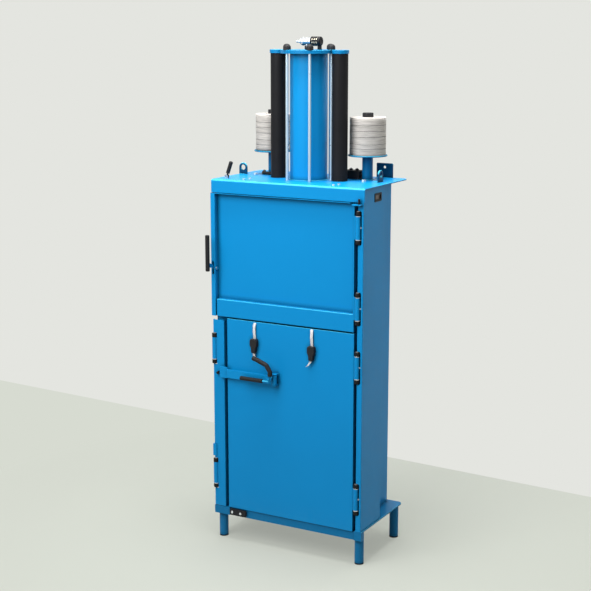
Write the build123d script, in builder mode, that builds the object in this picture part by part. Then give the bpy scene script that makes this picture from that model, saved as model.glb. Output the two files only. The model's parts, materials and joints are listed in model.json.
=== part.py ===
from build123d import *
import os
from math import cos, sin, radians

os.makedirs("parts", exist_ok=True)

# Frame: +X to the viewer's right, +Y to the back, +Z up, origin on the floor under the middle

# Cabinet
cabinet_width = 740.0
cabinet_depth = 425.0
front_y = -176.0            # face of the cabinet; depths below are measured back from it
base_top = 157.0
plate_sheet = 6.0           # base plate
top_height = 1635.0         # top face of the top plate
top_sheet = 5.0
fascia_height = 57.0
bend_radius = 8.0
sheet = 3.0                 # folded cabinet and door sheet
sheet_bend = 2.5            # outer bend radius of folded sheet
cheek_inset = 4.0           # outer face of a side cheek behind the plate's edge
cheek_width = 66.0
cheek_depth = 195.0
jamb_width = 24.0
right_frame_depth = 32.0    # frame face behind the doors, right side
left_frame_depth = 32.0     # frame face behind the post, left side
plate_round = 1.0           # rounded edge of plates

# Press chamber
chamber_wall = 4.0
chamber_rear_inset = 23.0
floor_thick = 12.0
strap_x = (-154.0, 129.0)
groove_width = 24.0
groove_depth = 8.0

# Legs
leg_dia = 40.0
leg_wall = 3.0
leg_side_inset = 26.0
leg_inset = 35.0
foot_height = 6.0
foot_plug = 12.0

# Hinges
pin_dia = 12.0
pin_play = 0.05             # radial play of a pin in its barrel
barrel_dia = 23.0
barrel_length = 98.0
washer_thick = 3.0
washer_dia = 24.0
lug_radius = 12.0
lug_gap = 0.3
pin_head_dia = 16.0
pin_head_height = 1.5
leaf_depth = 8.0
hinge_span = 138.0
hinge_depth = 4.0           # pin axis behind the face
right_hinge_inset = 1.0     # pin axis beside the edge of the jamb
left_hinge_inset = 3.0      # pin axis beside the face of the left cheek
filling_hinge_low = 101.0   # hinge middles, from the lower and upper edge of their door
filling_hinge_high = 103.5
bale_hinge_low = 147.0
bale_hinge_high = 145.0
post_hinge_low = 152.0
post_hinge_high = 130.5
notch_reach = 16.0
notch_radius = 8.0
post_notch_reach = 14.0
post_notch_radius = 4.0
notch_clear = 2.5

# Filling door
filling_height = 544.0
top_door_gap = 3.0          # under the fascia
split_gap = 6.0             # between the two doors
filling_side_gap = 18.0
panel_depth = 27.0
flange_out = 9.0            # flange beyond the cheek
flange_width = 21.5
flange_wrap = 50.0          # reach of the flange along the side of the cabinet
band_start = 7.5
band_height = 77.0
corner_cut_width = 19.0     # the door's top corner is cut back under the stop bracket
corner_cut_height = 10.0

# Bale door
post_gap = 16.5
bale_side_gap = 15.0
bale_drop = 4.0             # lower edge below the top of the base plate
bale_thick = 28.0
bale_skin = 4.0
skin_round = 1.5
frame_bar = 20.0

# Locking post
post_out = 2.0              # outer face beyond the cheek
post_width = 56.0
post_top_gap = 11.0
post_reach = 25.0
post_lip = 10.0
post_bracket_rise = 233.0
post_bracket_height = 55.0
bracket_side = 6.0
bracket_lap = 12.0
stud_in = 28.0
stud_up = 11.0
stud_dia = 9.0
stud_head = 13.0
stud_reach = 14.0

# Lock on the bale door
lock_x = -44.0              # upright pivot of the lock bar
lock_out = 24.0             # its distance in front of the face
bar_down = 260.0            # lower edge of the bar below the door's upper edge
bar_height = 37.0
bar_thick = 6.0
bar_out = 24.0              # back face of the bar in front of the door
bar_jog = 6.0
end_plate_lap = 13.0        # on the locking post
end_plate_length = 44.0
end_plate_out = 12.0
end_lip = 6.0
lock_pin_dia = 14.0
hub_radius = 12.0
ear_thick = 7.0
ear_gap = 0.4
ear_radius = 10.0
lever_side = 6.0            # fore and aft pivot of the hand lever, beside the bar's pivot
lever_up = 31.0
lever_out = 55.0            # plane of the bent rod
lever_eye = 10.0
rod_dia = 10.0
rod_bend = 12.0
grip_side = 34.0
grip_up = 16.0
grip_dia = 18.0
grip_length = 112.0
arm_dia = 20.0
arm_bend = 12.0
arm_steps = ((-84.0, 83.0), (-56.0, 74.0), (-15.0, 58.0), (3.0, 30.0), (3.0, 12.0))

# Door handle
handle_side = 10.5          # the arm's plane from the flange's outer face
handle_plate = 6.0
handle_pivot_depth = 10.0
handle_pivot_up = 212.0
handle_grip_dia = 19.0
handle_grip_out = 44.0
handle_grip_drop = 7.0
handle_grip_length = 159.0
handle_boss_up = 20.0
handle_bolt_dia = 8.0
slot_drop = 27.0
slot_rise = 32.0
slot_width = 9.0
boss_half = 11.0
bolt_head_height = 5.0

# Press
axis_depth = 205.0
tube_dia = 162.0
tube_wall = 4.0
tube_length = 535.0
head_thick = 15.0
head_radius = 121.0
column_x = 150.0
column_dia = 67.0
column_wall = 3.0
lobe_radius = 37.0
tie_radius = 108.0
tie_dia = 12.0
cap_dia = 32.0
cap_height = 24.0
cap_edge = 2.0
ram_rod_dia = 32.0
guide_rod_dia = 25.0
gland_height = 20.0
stroke = 455.0
piston_height = 40.0
piston_drop = 10.0
piston_play = 0.35
press_drop = 30.0           # top of the press plate below the cabinet's top plate
press_height = 60.0
press_skin = 8.0
press_rim = 6.0
press_side_gap = 12.0
press_front_gap = 10.0
press_rear_gap = 6.0
slide_play = 0.05

# Strap reels
reel_x = 233.0
reel_depth = 305.0
reel_post_dia = 46.0
reel_rise = 108.0
reel_disc_thick = 6.0
reel_disc_dia = 170.0
disc_round = 1.5
roll_dia = 158.0
roll_height = 160.0
hub_dia = 47.0
hub_rise = 18.0
hub_cap = 6.0
spindle_dia = 20.0
spindle_play = 0.1
reel_gap = 0.5

# Base plate, sill and pad
plate_corner = 20.0
left_block = 79.0
right_block = 35.0
sill_height = 36.0
sill_inset = 5.0
sill_return = 8.0
door_step = 30.0
tray_depth = 42.0
corner_depth = 25.0
leg_clear = 0.3
pad_start = 4.0
pad_length = 82.0
pad_rise = 5.0
pad_height = 27.0
pad_thick = 12.0
pad_screw_steps = (13.0, 56.0)
pad_screw_dia = 6.0
pad_head_dia = 11.0
pad_head_thick = 3.0

# Window in the right cheek
window_depth = 134.0
window_length = 58.0
window_down = 48.5
window_height = 27.0
window_rim = 4.0
window_proud = 2.0
window_tuck = 3.0

# Top plate fittings
rod_hole = 40.0
bush_dia = 38.0
bush_height = 25.0
eye_radius = 20.5
eye_height = 51.0
eye_hole = 24.0
eye_thick = 8.0
eye_round = 2.5
eye_left_inset = 21.0
eye_left_depth = 237.0
eye_right_inset = 48.0
eye_right_depth = 247.0
bracket_side_inset = 109.0
bracket_width = 78.0
bracket_height = 62.0
bracket_hole = 12.0
bracket_hole_up = 45.0
bracket_sheet = 5.0
bracket_corner = 5.0
bracket_inset = 1.0
big_bolt_steps = (63.0, 73.0)      # from the left and the right lifting eye
big_bolt_depth = 238.0
big_bolt_radius = 10.0
big_bolt_height = 8.0
small_bolts = ((-230.0, 43.0), (-221.0, 80.0), (204.0, 43.0), (211.0, 80.0))
small_bolt_radius = 6.0
small_bolt_height = 5.0

# Exhaust fitting
fitting_rise = 35.0
body_left = -34.0
body_radius = 17.0
body_shoulder = 3.0
groove_left = 0.0
groove_length = 3.0
groove_radius = 15.5
collar_left = -38.0
collar_radius = 13.0
ring_left = -42.0
ring_radius = 9.0
nozzle_left = -59.0
nozzle_radius = 6.0
nozzle_bore = 3.5
drum_left = 14.0
drum_right = 71.0
drum_radius = 20.0
body_foot_x = -6.0
drum_foot_x = 54.0
foot_radius = 14.0
saddle_radius = 11.0

# Valve block, hose and control lever
valve_x = 160.0
valve_depth = 318.0
valve_width = 76.0
valve_thick = 46.0
valve_height = 36.0
valve_port_up = 20.0
valve_port_radius = 9.0
valve_port_length = 9.0
hose_dia = 14.0
hose_depth = 262.0
hose_start_x = -200.0
hose_bend_x = -262.0
hose_end_x = -290.0
hose_run = 60.0
hose_bend = 25.0
elbow_radius = 13.0
control_inset = 44.0
control_depth = 60.0
control_pivot_up = 9.0
control_ear = 8.0
control_gap = 10.0
control_side = 0.4
control_pin = 5.0
control_lean = 20.0
control_rod = 7.0
control_grip_start = 6.0
control_grip_length = 54.0
control_grip_dia = 17.0

# Stop bracket
stop_start = 20.0
stop_end = 4.0
stop_down = 11.0
stop_out = 24.0
stop_thick = 4.0
stop_pin_in = 15.0
stop_pin_dia = 9.0
stop_pin_length = 27.0

# Straps and their holders
strap_width = 13.0
strap_thick = 1.2
strap_stand = 1.0
strap_down = 5.0
holder_down = 75.0
holder_thick = 18.0
holder_line = ((14.0, 0.0), (17.5, -9.0), (17.5, -27.0), (11.0, -42.0), (9.5, -62.0))
holder_round = 3.0
tail_length = 22.0
tail_runs = (0.0, 18.0)

# Places that follow from the sizes above
half_width = cabinet_width / 2
top_underside = top_height - top_sheet
base_underside = base_top - plate_sheet
fascia_bottom = top_height - fascia_height
cheek_face = half_width - cheek_inset
chamber_half = cheek_face - cheek_width
jamb_edge = cheek_face - jamb_width
notch_right = jamb_edge + notch_reach
leg_x = half_width - leg_side_inset
rear_y = front_y + cabinet_depth
chamber_rear = cabinet_depth - chamber_rear_inset
leg_front_y = front_y + leg_inset
leg_rear_y = rear_y - leg_inset

filling_top = fascia_bottom - top_door_gap
filling_bottom = filling_top - filling_height
filling_right = jamb_edge - filling_side_gap
flange_left = -cheek_face - flange_out
flange_right = flange_left + flange_width
band_left = flange_right + band_start
band_top = filling_bottom + band_height
corner_cut_x = filling_right - corner_cut_width
corner_cut_z = filling_top - corner_cut_height
filling_hinges = (filling_bottom + filling_hinge_low, filling_top - filling_hinge_high)

post_left = -cheek_face - post_out
post_right = post_left + post_width
bale_left = post_right + post_gap
bale_right = jamb_edge - bale_side_gap
bale_bottom = base_top - bale_drop
bale_top = filling_bottom - split_gap
bale_hinges = (bale_bottom + bale_hinge_low, bale_top - bale_hinge_high)
post_bottom = bale_bottom
post_top = bale_top - post_top_gap
post_hinges = (post_bottom + post_hinge_low, post_top - post_hinge_high)
post_bracket_low = post_bottom + post_bracket_rise
post_bracket_high = post_bracket_low + post_bracket_height

hinge_y = front_y + hinge_depth
right_hinge_x = jamb_edge - right_hinge_inset
left_hinge_x = -cheek_face + left_hinge_inset
post_notch_right = left_hinge_x + post_notch_reach

bar_bottom = bale_top - bar_down
bar_top = bar_bottom + bar_height
end_plate_left = post_right - end_plate_lap
end_plate_right = end_plate_left + end_plate_length
stud_x = post_left + stud_in
stud_z = bar_bottom + stud_up
lever_x = lock_x - lever_side
lever_z = bar_bottom + lever_up
grip_z = bar_bottom + grip_up
grip_right = lever_x - grip_side
arm_points = [(lever_x + dx, lever_z + dz) for dx, dz in arm_steps]

handle_x = flange_left + handle_side
handle_pivot_y = front_y + handle_pivot_depth
handle_pivot_z = filling_bottom + handle_pivot_up
handle_grip_bottom = handle_pivot_z - handle_grip_drop
handle_grip_top = handle_grip_bottom + handle_grip_length
handle_boss_z = handle_pivot_z + handle_boss_up
slot_bottom = handle_pivot_z - slot_drop
slot_top = handle_pivot_z + slot_rise
grip_y = front_y - handle_grip_out

axis_y = front_y + axis_depth
tube_top = top_height + tube_length
head_top = tube_top + head_thick
fitting_z = head_top + fitting_rise
piston_top = tube_top - piston_drop
press_top = top_underside - press_drop
press_half = chamber_half - press_side_gap
press_front = right_frame_depth + press_front_gap
press_rear = chamber_rear - press_rear_gap
reel_disc_top = top_height + reel_rise
roll_top = reel_disc_top + roll_height
hub_top = roll_top + hub_rise

sill_left = -half_width + left_block
sill_right = half_width - right_block
sill_bottom = base_underside - sill_height
sill_face = front_y + sill_inset
pad_left = sill_left + pad_start
pad_right = pad_left + pad_length
pad_bottom = sill_bottom + pad_rise
pad_top = pad_bottom + pad_height
pad_screw_x = [pad_left + step for step in pad_screw_steps]
window_y = front_y + window_depth
window_z = top_height - window_down

eye_left_x = -half_width + eye_left_inset
eye_left_y = front_y + eye_left_depth
eye_right_x = half_width - eye_right_inset
eye_right_y = front_y + eye_right_depth
bracket_x = half_width - bracket_side_inset
big_bolts = (
    (eye_left_x + big_bolt_steps[0], big_bolt_depth),
    (eye_right_x - big_bolt_steps[1], big_bolt_depth),
)
control_x = -half_width + control_inset
stop_left = jamb_edge - stop_start
stop_right = cheek_face - stop_end
stop_z = fascia_bottom - stop_down
stop_pin_x = cheek_face - stop_pin_in
stop_pin_top = stop_z + stop_pin_length

strap_high = bale_top - strap_down
holder_top = bale_top - holder_down
holder_bottom = holder_top + holder_line[-1][1]
tail_low = holder_bottom - tail_length


def save(part, name):
    part.label = name
    export_step(part, "parts/" + name + ".step")


# Base plate with rounded rear corners
with BuildPart() as base_plate:
    with BuildSketch(Plane.XY.offset(base_underside)):
        with Locations((0, front_y + cabinet_depth / 2)):
            Rectangle(cabinet_width, cabinet_depth)
        # the doors and the post hang in front of this step
        with Locations(((sill_right - half_width) / 2, front_y + door_step / 2)):
            Rectangle(sill_right + half_width, door_step, mode=Mode.SUBTRACT)
    extrude(amount=plate_sheet)
    fillet(base_plate.edges().filter_by(Axis.Z).group_by(Axis.Y)[-1], plate_corner)
    fillet(base_plate.faces().sort_by(Axis.Z)[-1].edges().filter_by(GeomType.CIRCLE), plate_round)
save(base_plate.part, "base_plate")

# Front sill: folded strip between two corner blocks, cut round the front legs
with BuildPart() as front_sill:
    with BuildSketch(Plane.YZ.offset(sill_left)):
        with BuildLine():
            Polyline(
                (front_y + tray_depth, base_underside),
                (sill_face, base_underside),
                (sill_face, sill_bottom),
                (sill_face + sill_return, sill_bottom),
                (sill_face + sill_return, sill_bottom + sheet),
                (sill_face + sheet, sill_bottom + sheet),
                (sill_face + sheet, base_underside - sheet),
                (front_y + tray_depth, base_underside - sheet),
                close=True,
            )
        make_face()
    extrude(amount=sill_right - sill_left)
    with BuildSketch(Plane.XY.offset(sill_bottom)):
        with Locations((leg_x, leg_front_y)):
            Circle(leg_dia / 2 + leg_clear)
    extrude(amount=sill_height, mode=Mode.SUBTRACT)
    for side, x0, x1, depth in (
        (-1, -half_width, sill_left, tray_depth),
        (1, sill_right, half_width, corner_depth),
    ):
        with BuildSketch(Plane.XY.offset(sill_bottom)):
            with Locations(((x0 + x1) / 2, front_y + depth / 2)):
                Rectangle(x1 - x0, depth)
            with Locations((side * leg_x, leg_front_y)):
                Circle(leg_dia / 2 + leg_clear, mode=Mode.SUBTRACT)
        extrude(amount=sill_height)
save(front_sill.part, "front_sill")

# Dark support pad of the bale door, bored for its two screws
pad_screw_z = (pad_bottom + pad_top) / 2
with BuildPart() as door_pad:
    with BuildSketch(Plane.XZ.offset(-sill_face)):
        with Locations(((pad_left + pad_right) / 2, pad_screw_z)):
            RectangleRounded(pad_right - pad_left, pad_top - pad_bottom, 4)
        with Locations(*[(x, pad_screw_z) for x in pad_screw_x]):
            Circle(pad_screw_dia / 2 + slide_play, mode=Mode.SUBTRACT)
    extrude(amount=pad_thick)
save(door_pad.part, "door_pad")

# Legs and their foot caps
leg_spots = [(x, y) for x in (-leg_x, leg_x) for y in (leg_front_y, leg_rear_y)]
with BuildPart() as legs:
    with BuildSketch(Plane.XY.offset(foot_height)):
        with Locations(*leg_spots):
            Circle(leg_dia / 2)
            Circle(leg_dia / 2 - leg_wall, mode=Mode.SUBTRACT)
    extrude(amount=base_underside - foot_height)
save(legs.part, "legs")

with BuildPart() as foot_caps:
    with BuildSketch():
        with Locations(*leg_spots):
            Circle(leg_dia / 2)
    extrude(amount=foot_height)
    with BuildSketch(Plane.XY.offset(foot_height)):
        with Locations(*leg_spots):
            Circle(leg_dia / 2 - leg_wall - slide_play)
    extrude(amount=foot_plug)
save(foot_caps.part, "foot_caps")

# Right cheek, a folded post with the jamb strip, hinge notches and window
right_frame_y = front_y + right_frame_depth
left_frame_y = front_y + left_frame_depth
cheek_rear_y = front_y + cheek_depth
with BuildPart() as right_cheek:
    with BuildSketch(Plane.XY.offset(base_top)):
        with BuildLine():
            Polyline(
                (chamber_half, right_frame_y),
                (jamb_edge, right_frame_y),
                (jamb_edge, front_y),
                (cheek_face, front_y),
                (cheek_face, cheek_rear_y),
                (chamber_half, cheek_rear_y),
                (chamber_half, cheek_rear_y - sheet),
                (cheek_face - sheet, cheek_rear_y - sheet),
                (cheek_face - sheet, front_y + sheet),
                (jamb_edge + sheet, front_y + sheet),
                (jamb_edge + sheet, right_frame_y + sheet),
                (chamber_half, right_frame_y + sheet),
                close=True,
            )
        make_face()
    extrude(amount=top_underside - base_top)
    outer_folds = right_cheek.edges().filter_by(Axis.Z).group_by(Axis.X)[-1]
    fillet(outer_folds, sheet_bend)
    # the strip ends under the fascia, which runs on in the same plane
    with BuildSketch(Plane.XZ.offset(-front_y - top_sheet)):
        with Locations((half_width, (fascia_bottom + top_height) / 2)):
            Rectangle(cabinet_width / 4, top_height - fascia_bottom)
    extrude(amount=top_sheet + 1, mode=Mode.SUBTRACT)
    # one round-ended notch for each hinge
    for z in filling_hinges + bale_hinges:
        with BuildSketch(Plane.XZ.offset(-right_frame_y)):
            with Locations((jamb_edge, z)):
                RectangleRounded(
                    2 * (notch_right - jamb_edge), hinge_span + 2 * notch_clear, notch_radius
                )
        extrude(amount=right_frame_depth + 1, mode=Mode.SUBTRACT)
    with BuildSketch(Plane.YZ.offset(cheek_face - 2 * sheet)):
        with Locations((window_y, window_z)):
            Rectangle(window_length, window_height)
    extrude(amount=3 * sheet, mode=Mode.SUBTRACT)
save(right_cheek.part, "right_cheek")

# Left cheek, a box post set back behind the locking post
with BuildPart() as left_cheek:
    with BuildSketch(Plane.XY.offset(base_top)):
        with BuildLine():
            Polyline(
                (-chamber_half, left_frame_y),
                (-cheek_face, left_frame_y),
                (-cheek_face, cheek_rear_y),
                (-chamber_half, cheek_rear_y),
                (-chamber_half, cheek_rear_y - sheet),
                (-cheek_face + sheet, cheek_rear_y - sheet),
                (-cheek_face + sheet, left_frame_y + sheet),
                (-chamber_half, left_frame_y + sheet),
                close=True,
            )
        make_face()
    extrude(amount=top_underside - base_top)
    fillet(left_cheek.edges().filter_by(Axis.Z).group_by(Axis.X)[0], sheet_bend)
save(left_cheek.part, "left_cheek")

# Window frame and pane in the right cheek
with BuildPart() as window_frame:
    with BuildSketch(Plane.YZ.offset(cheek_face)):
        with Locations((window_y, window_z)):
            RectangleRounded(window_length + 2 * window_rim, window_height + 2 * window_rim, 3)
            Rectangle(window_length - 2 * window_rim, window_height - 2 * window_rim, mode=Mode.SUBTRACT)
    extrude(amount=window_proud)
    with BuildSketch(Plane.YZ.offset(cheek_face)):
        with Locations((window_y, window_z)):
            Rectangle(window_length - 2 * slide_play, window_height - 2 * slide_play)
            Rectangle(window_length - 2 * window_rim, window_height - 2 * window_rim, mode=Mode.SUBTRACT)
    extrude(amount=-window_tuck)
save(window_frame.part, "window_frame")

with BuildPart() as window_pane:
    with BuildSketch(Plane.YZ.offset(cheek_face - window_tuck)):
        with Locations((window_y, window_z)):
            Rectangle(window_length, window_height)
    extrude(amount=-sheet)
save(window_pane.part, "window_pane")

# Press chamber: two sides, rear wall and a floor with strap grooves
with BuildPart() as chamber_sides:
    with BuildSketch(Plane.XY.offset(base_top)):
        for side in (-1, 1):
            side_x = side * (chamber_half - chamber_wall / 2)
            with Locations((side_x, front_y + (right_frame_depth + chamber_rear) / 2)):
                Rectangle(chamber_wall, chamber_rear - right_frame_depth)
    extrude(amount=top_underside - base_top)
save(chamber_sides.part, "chamber_sides")

with BuildPart() as chamber_back:
    with BuildSketch(Plane.XY.offset(base_top)):
        with Locations((0, front_y + chamber_rear + chamber_wall / 2)):
            Rectangle(2 * chamber_half, chamber_wall)
    extrude(amount=top_underside - base_top)
save(chamber_back.part, "chamber_rear_wall")

floor_length = chamber_rear - right_frame_depth
with BuildPart() as chamber_floor:
    with BuildSketch(Plane.XY.offset(base_top)):
        with Locations((0, front_y + right_frame_depth + floor_length / 2)):
            Rectangle(2 * (chamber_half - chamber_wall), floor_length)
    extrude(amount=floor_thick)
    with BuildSketch(Plane.XY.offset(base_top + floor_thick)):
        with Locations(*[(x, front_y + right_frame_depth + floor_length / 2) for x in strap_x]):
            Rectangle(groove_width, floor_length)
    extrude(amount=-groove_depth, mode=Mode.SUBTRACT)
save(chamber_floor.part, "chamber_floor")

# Top plate with the fascia folded down at the front
with BuildPart() as top_plate:
    with BuildSketch(Plane.YZ.offset(-half_width)):
        with BuildLine():
            Polyline(
                (rear_y, top_height),
                (front_y, top_height),
                (front_y, fascia_bottom),
                (front_y + top_sheet, fascia_bottom),
                (front_y + top_sheet, top_underside),
                (rear_y, top_underside),
                close=True,
            )
        make_face()
    extrude(amount=cabinet_width)
    fold = top_plate.edges().filter_by(Axis.X).group_by(Axis.Z)[-1].sort_by(Axis.Y)[0]
    fillet(fold, bend_radius)
    fillet(top_plate.edges().filter_by(Axis.Z).group_by(Axis.Y)[-1], plate_corner)
    rim = top_plate.faces().filter_by(Axis.Z).sort_by(Axis.Z)[-1].edges()
    fillet(rim.filter_by(lambda edge: edge.center().Y > front_y + bend_radius + 1), plate_round)
    # holes for the press rod and the guide rods
    with BuildSketch(Plane.XY.offset(top_height)):
        with Locations((0, axis_y)):
            Circle(rod_hole / 2)
        with Locations(*[(x, axis_y) for x in (-column_x, column_x)]):
            Circle(bush_dia / 2)
    extrude(amount=-top_sheet, mode=Mode.SUBTRACT)
save(top_plate.part, "top_plate")

# Guide bushes of the guide rods and the gland of the press rod
with BuildPart() as press_bushes:
    with BuildSketch(Plane.XY.offset(top_underside)):
        with Locations((-column_x, axis_y), (column_x, axis_y)):
            Circle(bush_dia / 2)
            Circle(guide_rod_dia / 2 + slide_play, mode=Mode.SUBTRACT)
    extrude(amount=bush_height)
    with BuildSketch(Plane.XY.offset(top_height)):
        with Locations((0, axis_y)):
            Circle(tube_dia / 2 - tube_wall)
            Circle(ram_rod_dia / 2 + slide_play, mode=Mode.SUBTRACT)
    extrude(amount=gland_height)
save(press_bushes.part, "press_bushes")

# Lifting eyes, the left one parallel to the front, the right one to the side
with BuildPart() as lifting_eyes:
    for plane, centre in (
        (Plane.XZ.offset(-eye_left_y - eye_thick / 2), eye_left_x),
        (Plane.YZ.offset(eye_right_x - eye_thick / 2), eye_right_y),
    ):
        with BuildSketch(plane):
            with Locations((centre, top_height + (eye_height - eye_radius) / 2)):
                Rectangle(2 * eye_radius, eye_height - eye_radius)
            with Locations((centre, top_height + eye_height - eye_radius)):
                Circle(eye_radius)
                Circle(eye_hole / 2, mode=Mode.SUBTRACT)
        extrude(amount=eye_thick)
    arcs = lifting_eyes.edges().filter_by(GeomType.CIRCLE)
    fillet(arcs.filter_by(lambda edge: edge.radius > eye_hole / 2 + 1), eye_round)
save(lifting_eyes.part, "lifting_eyes")

# Wall brackets at the rear edge
with BuildPart() as wall_brackets:
    for x in (-bracket_x, bracket_x):
        with BuildSketch(Plane.XZ.offset(-rear_y + bracket_inset)):
            with Locations((x, top_height + bracket_height / 2)):
                Rectangle(bracket_width, bracket_height)
            with Locations((x, top_height + bracket_hole_up)):
                Circle(bracket_hole / 2, mode=Mode.SUBTRACT)
        extrude(amount=bracket_sheet)
    fillet(wall_brackets.edges().filter_by(Axis.Y).group_by(Axis.Z)[-1], bracket_corner)
save(wall_brackets.part, "wall_brackets")

# Air cylinder: tube, head plate, tie rods and caps
with BuildPart() as cylinder_tube:
    with BuildSketch(Plane.XY.offset(top_height)):
        with Locations((0, axis_y)):
            Circle(tube_dia / 2)
            Circle(tube_dia / 2 - tube_wall, mode=Mode.SUBTRACT)
    extrude(amount=tube_top - top_height)
save(cylinder_tube.part, "cylinder_tube")

tie_spots = [
    (tie_radius * cos(radians(a)), axis_y + tie_radius * sin(radians(a))) for a in range(0, 360, 60)
]
with BuildPart() as tie_rods:
    with BuildSketch(Plane.XY.offset(top_height)):
        with Locations(*tie_spots):
            Circle(tie_dia / 2)
    extrude(amount=tube_top - top_height)
save(tie_rods.part, "tie_rods")

with BuildPart() as head_plate:
    with BuildSketch(Plane.XY.offset(tube_top)):
        with Locations((0, axis_y)):
            Circle(head_radius)
        with Locations((-column_x, axis_y), (column_x, axis_y)):
            Circle(lobe_radius)
    extrude(amount=head_thick)
    fillet(head_plate.faces().sort_by(Axis.Z)[-1].edges(), plate_round)
save(head_plate.part, "head_plate")

with BuildPart() as rod_caps:
    with BuildSketch(Plane.XY.offset(head_top)):
        with Locations(*tie_spots):
            Circle(cap_dia / 2)
    extrude(amount=cap_height)
    fillet(rod_caps.faces().filter_by(Axis.Z).group_by(Axis.Z)[-1].edges(), cap_dia / 2 - cap_edge)
save(rod_caps.part, "rod_caps")

with BuildPart() as column_covers:
    with BuildSketch(Plane.XY.offset(top_height)):
        with Locations((-column_x, axis_y), (column_x, axis_y)):
            Circle(column_dia / 2)
            Circle(column_dia / 2 - column_wall, mode=Mode.SUBTRACT)
    extrude(amount=tube_top - top_height)
save(column_covers.part, "column_covers")

# Exhaust fitting on the head plate: turned body with its nozzle, silencer drum, two feet
body_line = [
    (nozzle_left, nozzle_bore),
    (nozzle_left, nozzle_radius),
    (ring_left, nozzle_radius),
    (ring_left, ring_radius),
    (collar_left, ring_radius),
    (collar_left, collar_radius),
    (body_left, collar_radius),
    (body_left, body_radius),
    (groove_left, body_radius),
    (groove_left, groove_radius),
    (groove_left + groove_length, groove_radius),
    (groove_left + groove_length, body_radius),
    (drum_left, body_radius),
    (drum_left, 0),
    (body_left, 0),
    (body_left, nozzle_bore),
]
with BuildPart() as fitting_body:
    with BuildSketch(Plane.XZ.offset(-axis_y)):
        with BuildLine():
            Polyline(*[(x, fitting_z + radius) for x, radius in body_line], close=True)
        make_face()
    revolve(axis=Axis((0, axis_y, fitting_z), (1, 0, 0)))
    rings = fitting_body.edges().filter_by(GeomType.CIRCLE)
    wide = rings.filter_by(lambda edge: edge.radius > body_radius - 1)
    fillet(wide.sort_by(Axis.X)[0], body_shoulder)
    with BuildSketch(Plane.XY.offset(fitting_z - drum_radius)):
        with Locations((body_foot_x, axis_y)):
            Circle(saddle_radius)
    extrude(amount=drum_radius - body_radius / 2)
save(fitting_body.part, "fitting_body")

with BuildPart() as silencer:
    with BuildSketch(Plane.YZ.offset(drum_left)):
        with Locations((axis_y, fitting_z)):
            Circle(drum_radius)
    extrude(amount=drum_right - drum_left)
    fillet(silencer.faces().sort_by(Axis.X)[-1].edges(), 6)
    # saddle under the drum
    with BuildSketch(Plane.XY.offset(fitting_z - drum_radius)):
        with Locations((drum_foot_x, axis_y)):
            Circle(saddle_radius)
    extrude(amount=drum_radius / 2)
    # the two feet
    with BuildSketch(Plane.XY.offset(head_top)):
        with Locations((body_foot_x, axis_y), (drum_foot_x, axis_y)):
            Circle(foot_radius)
    extrude(amount=fitting_z - drum_radius - head_top)
save(silencer.part, "silencer")

# Reel stands: posts with their discs, and the spindles that the rolls turn on
reel_spots = [(side * reel_x, front_y + reel_depth) for side in (-1, 1)]
disc_bottom = reel_disc_top - reel_disc_thick
with BuildPart() as reel_stands:
    for base, height, dia in (
        (top_height, disc_bottom - top_height, reel_post_dia),
        (disc_bottom, reel_disc_thick, reel_disc_dia),
        (reel_disc_top, hub_top - hub_cap - 2 * reel_gap - reel_disc_top, spindle_dia),
    ):
        with BuildSketch(Plane.XY.offset(base)):
            with Locations(*reel_spots):
                Circle(dia / 2)
        extrude(amount=height)
    disc_rims = reel_stands.edges().filter_by(GeomType.CIRCLE).group_by(lambda edge: edge.radius)[-1]
    fillet(disc_rims, disc_round)
save(reel_stands.part, "reel_stands")

roll_base = reel_disc_top + reel_gap
for spot, name in zip(reel_spots, ("left", "right")):
    with BuildPart() as reel_hub:
        with BuildSketch(Plane.XY.offset(roll_base)):
            with Locations(spot):
                Circle(hub_dia / 2)
        extrude(amount=hub_top - roll_base)
        with BuildSketch(Plane.XY.offset(roll_base)):
            with Locations(spot):
                Circle(spindle_dia / 2 + spindle_play)
        extrude(amount=hub_top - hub_cap - roll_base, mode=Mode.SUBTRACT)
        fillet(reel_hub.faces().sort_by(Axis.Z)[-1].edges(), 3)
    save(reel_hub.part, "reel_hub_" + name)
    with BuildPart() as strap_roll:
        with BuildSketch(Plane.XY.offset(roll_base)):
            with Locations(spot):
                Circle(roll_dia / 2)
                Circle(hub_dia / 2, mode=Mode.SUBTRACT)
        extrude(amount=roll_top - roll_base)
        fillet(strap_roll.faces().sort_by(Axis.Z)[-1].outer_wire().edges(), 4)
    save(strap_roll.part, "strap_roll_" + name)

# Bright bolts in the door pad and on the top plate
with BuildPart() as bright_bolts:
    with BuildSketch(Plane.XZ.offset(-sill_face)):
        with Locations(*[(x, pad_screw_z) for x in pad_screw_x]):
            Circle(pad_screw_dia / 2)
    extrude(amount=pad_thick)
    with BuildSketch(Plane.XZ.offset(pad_thick - sill_face)):
        with Locations(*[(x, pad_screw_z) for x in pad_screw_x]):
            Circle(pad_head_dia / 2)
    extrude(amount=pad_head_thick)
    fillet(bright_bolts.faces().sort_by(Axis.Y)[0:2].edges(), 1)
    for spots, radius, height in (
        (big_bolts, big_bolt_radius, big_bolt_height),
        (small_bolts, small_bolt_radius, small_bolt_height),
    ):
        with BuildSketch(Plane.XY.offset(top_height)):
            with Locations(*[(x, front_y + depth) for x, depth in spots]):
                RegularPolygon(radius, 6)
        extrude(amount=height)
        chamfer(bright_bolts.faces().filter_by(Plane.XY).sort_by(Axis.Z)[-len(spots):].edges(), height / 4)
save(bright_bolts.part, "bright_bolts")

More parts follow.
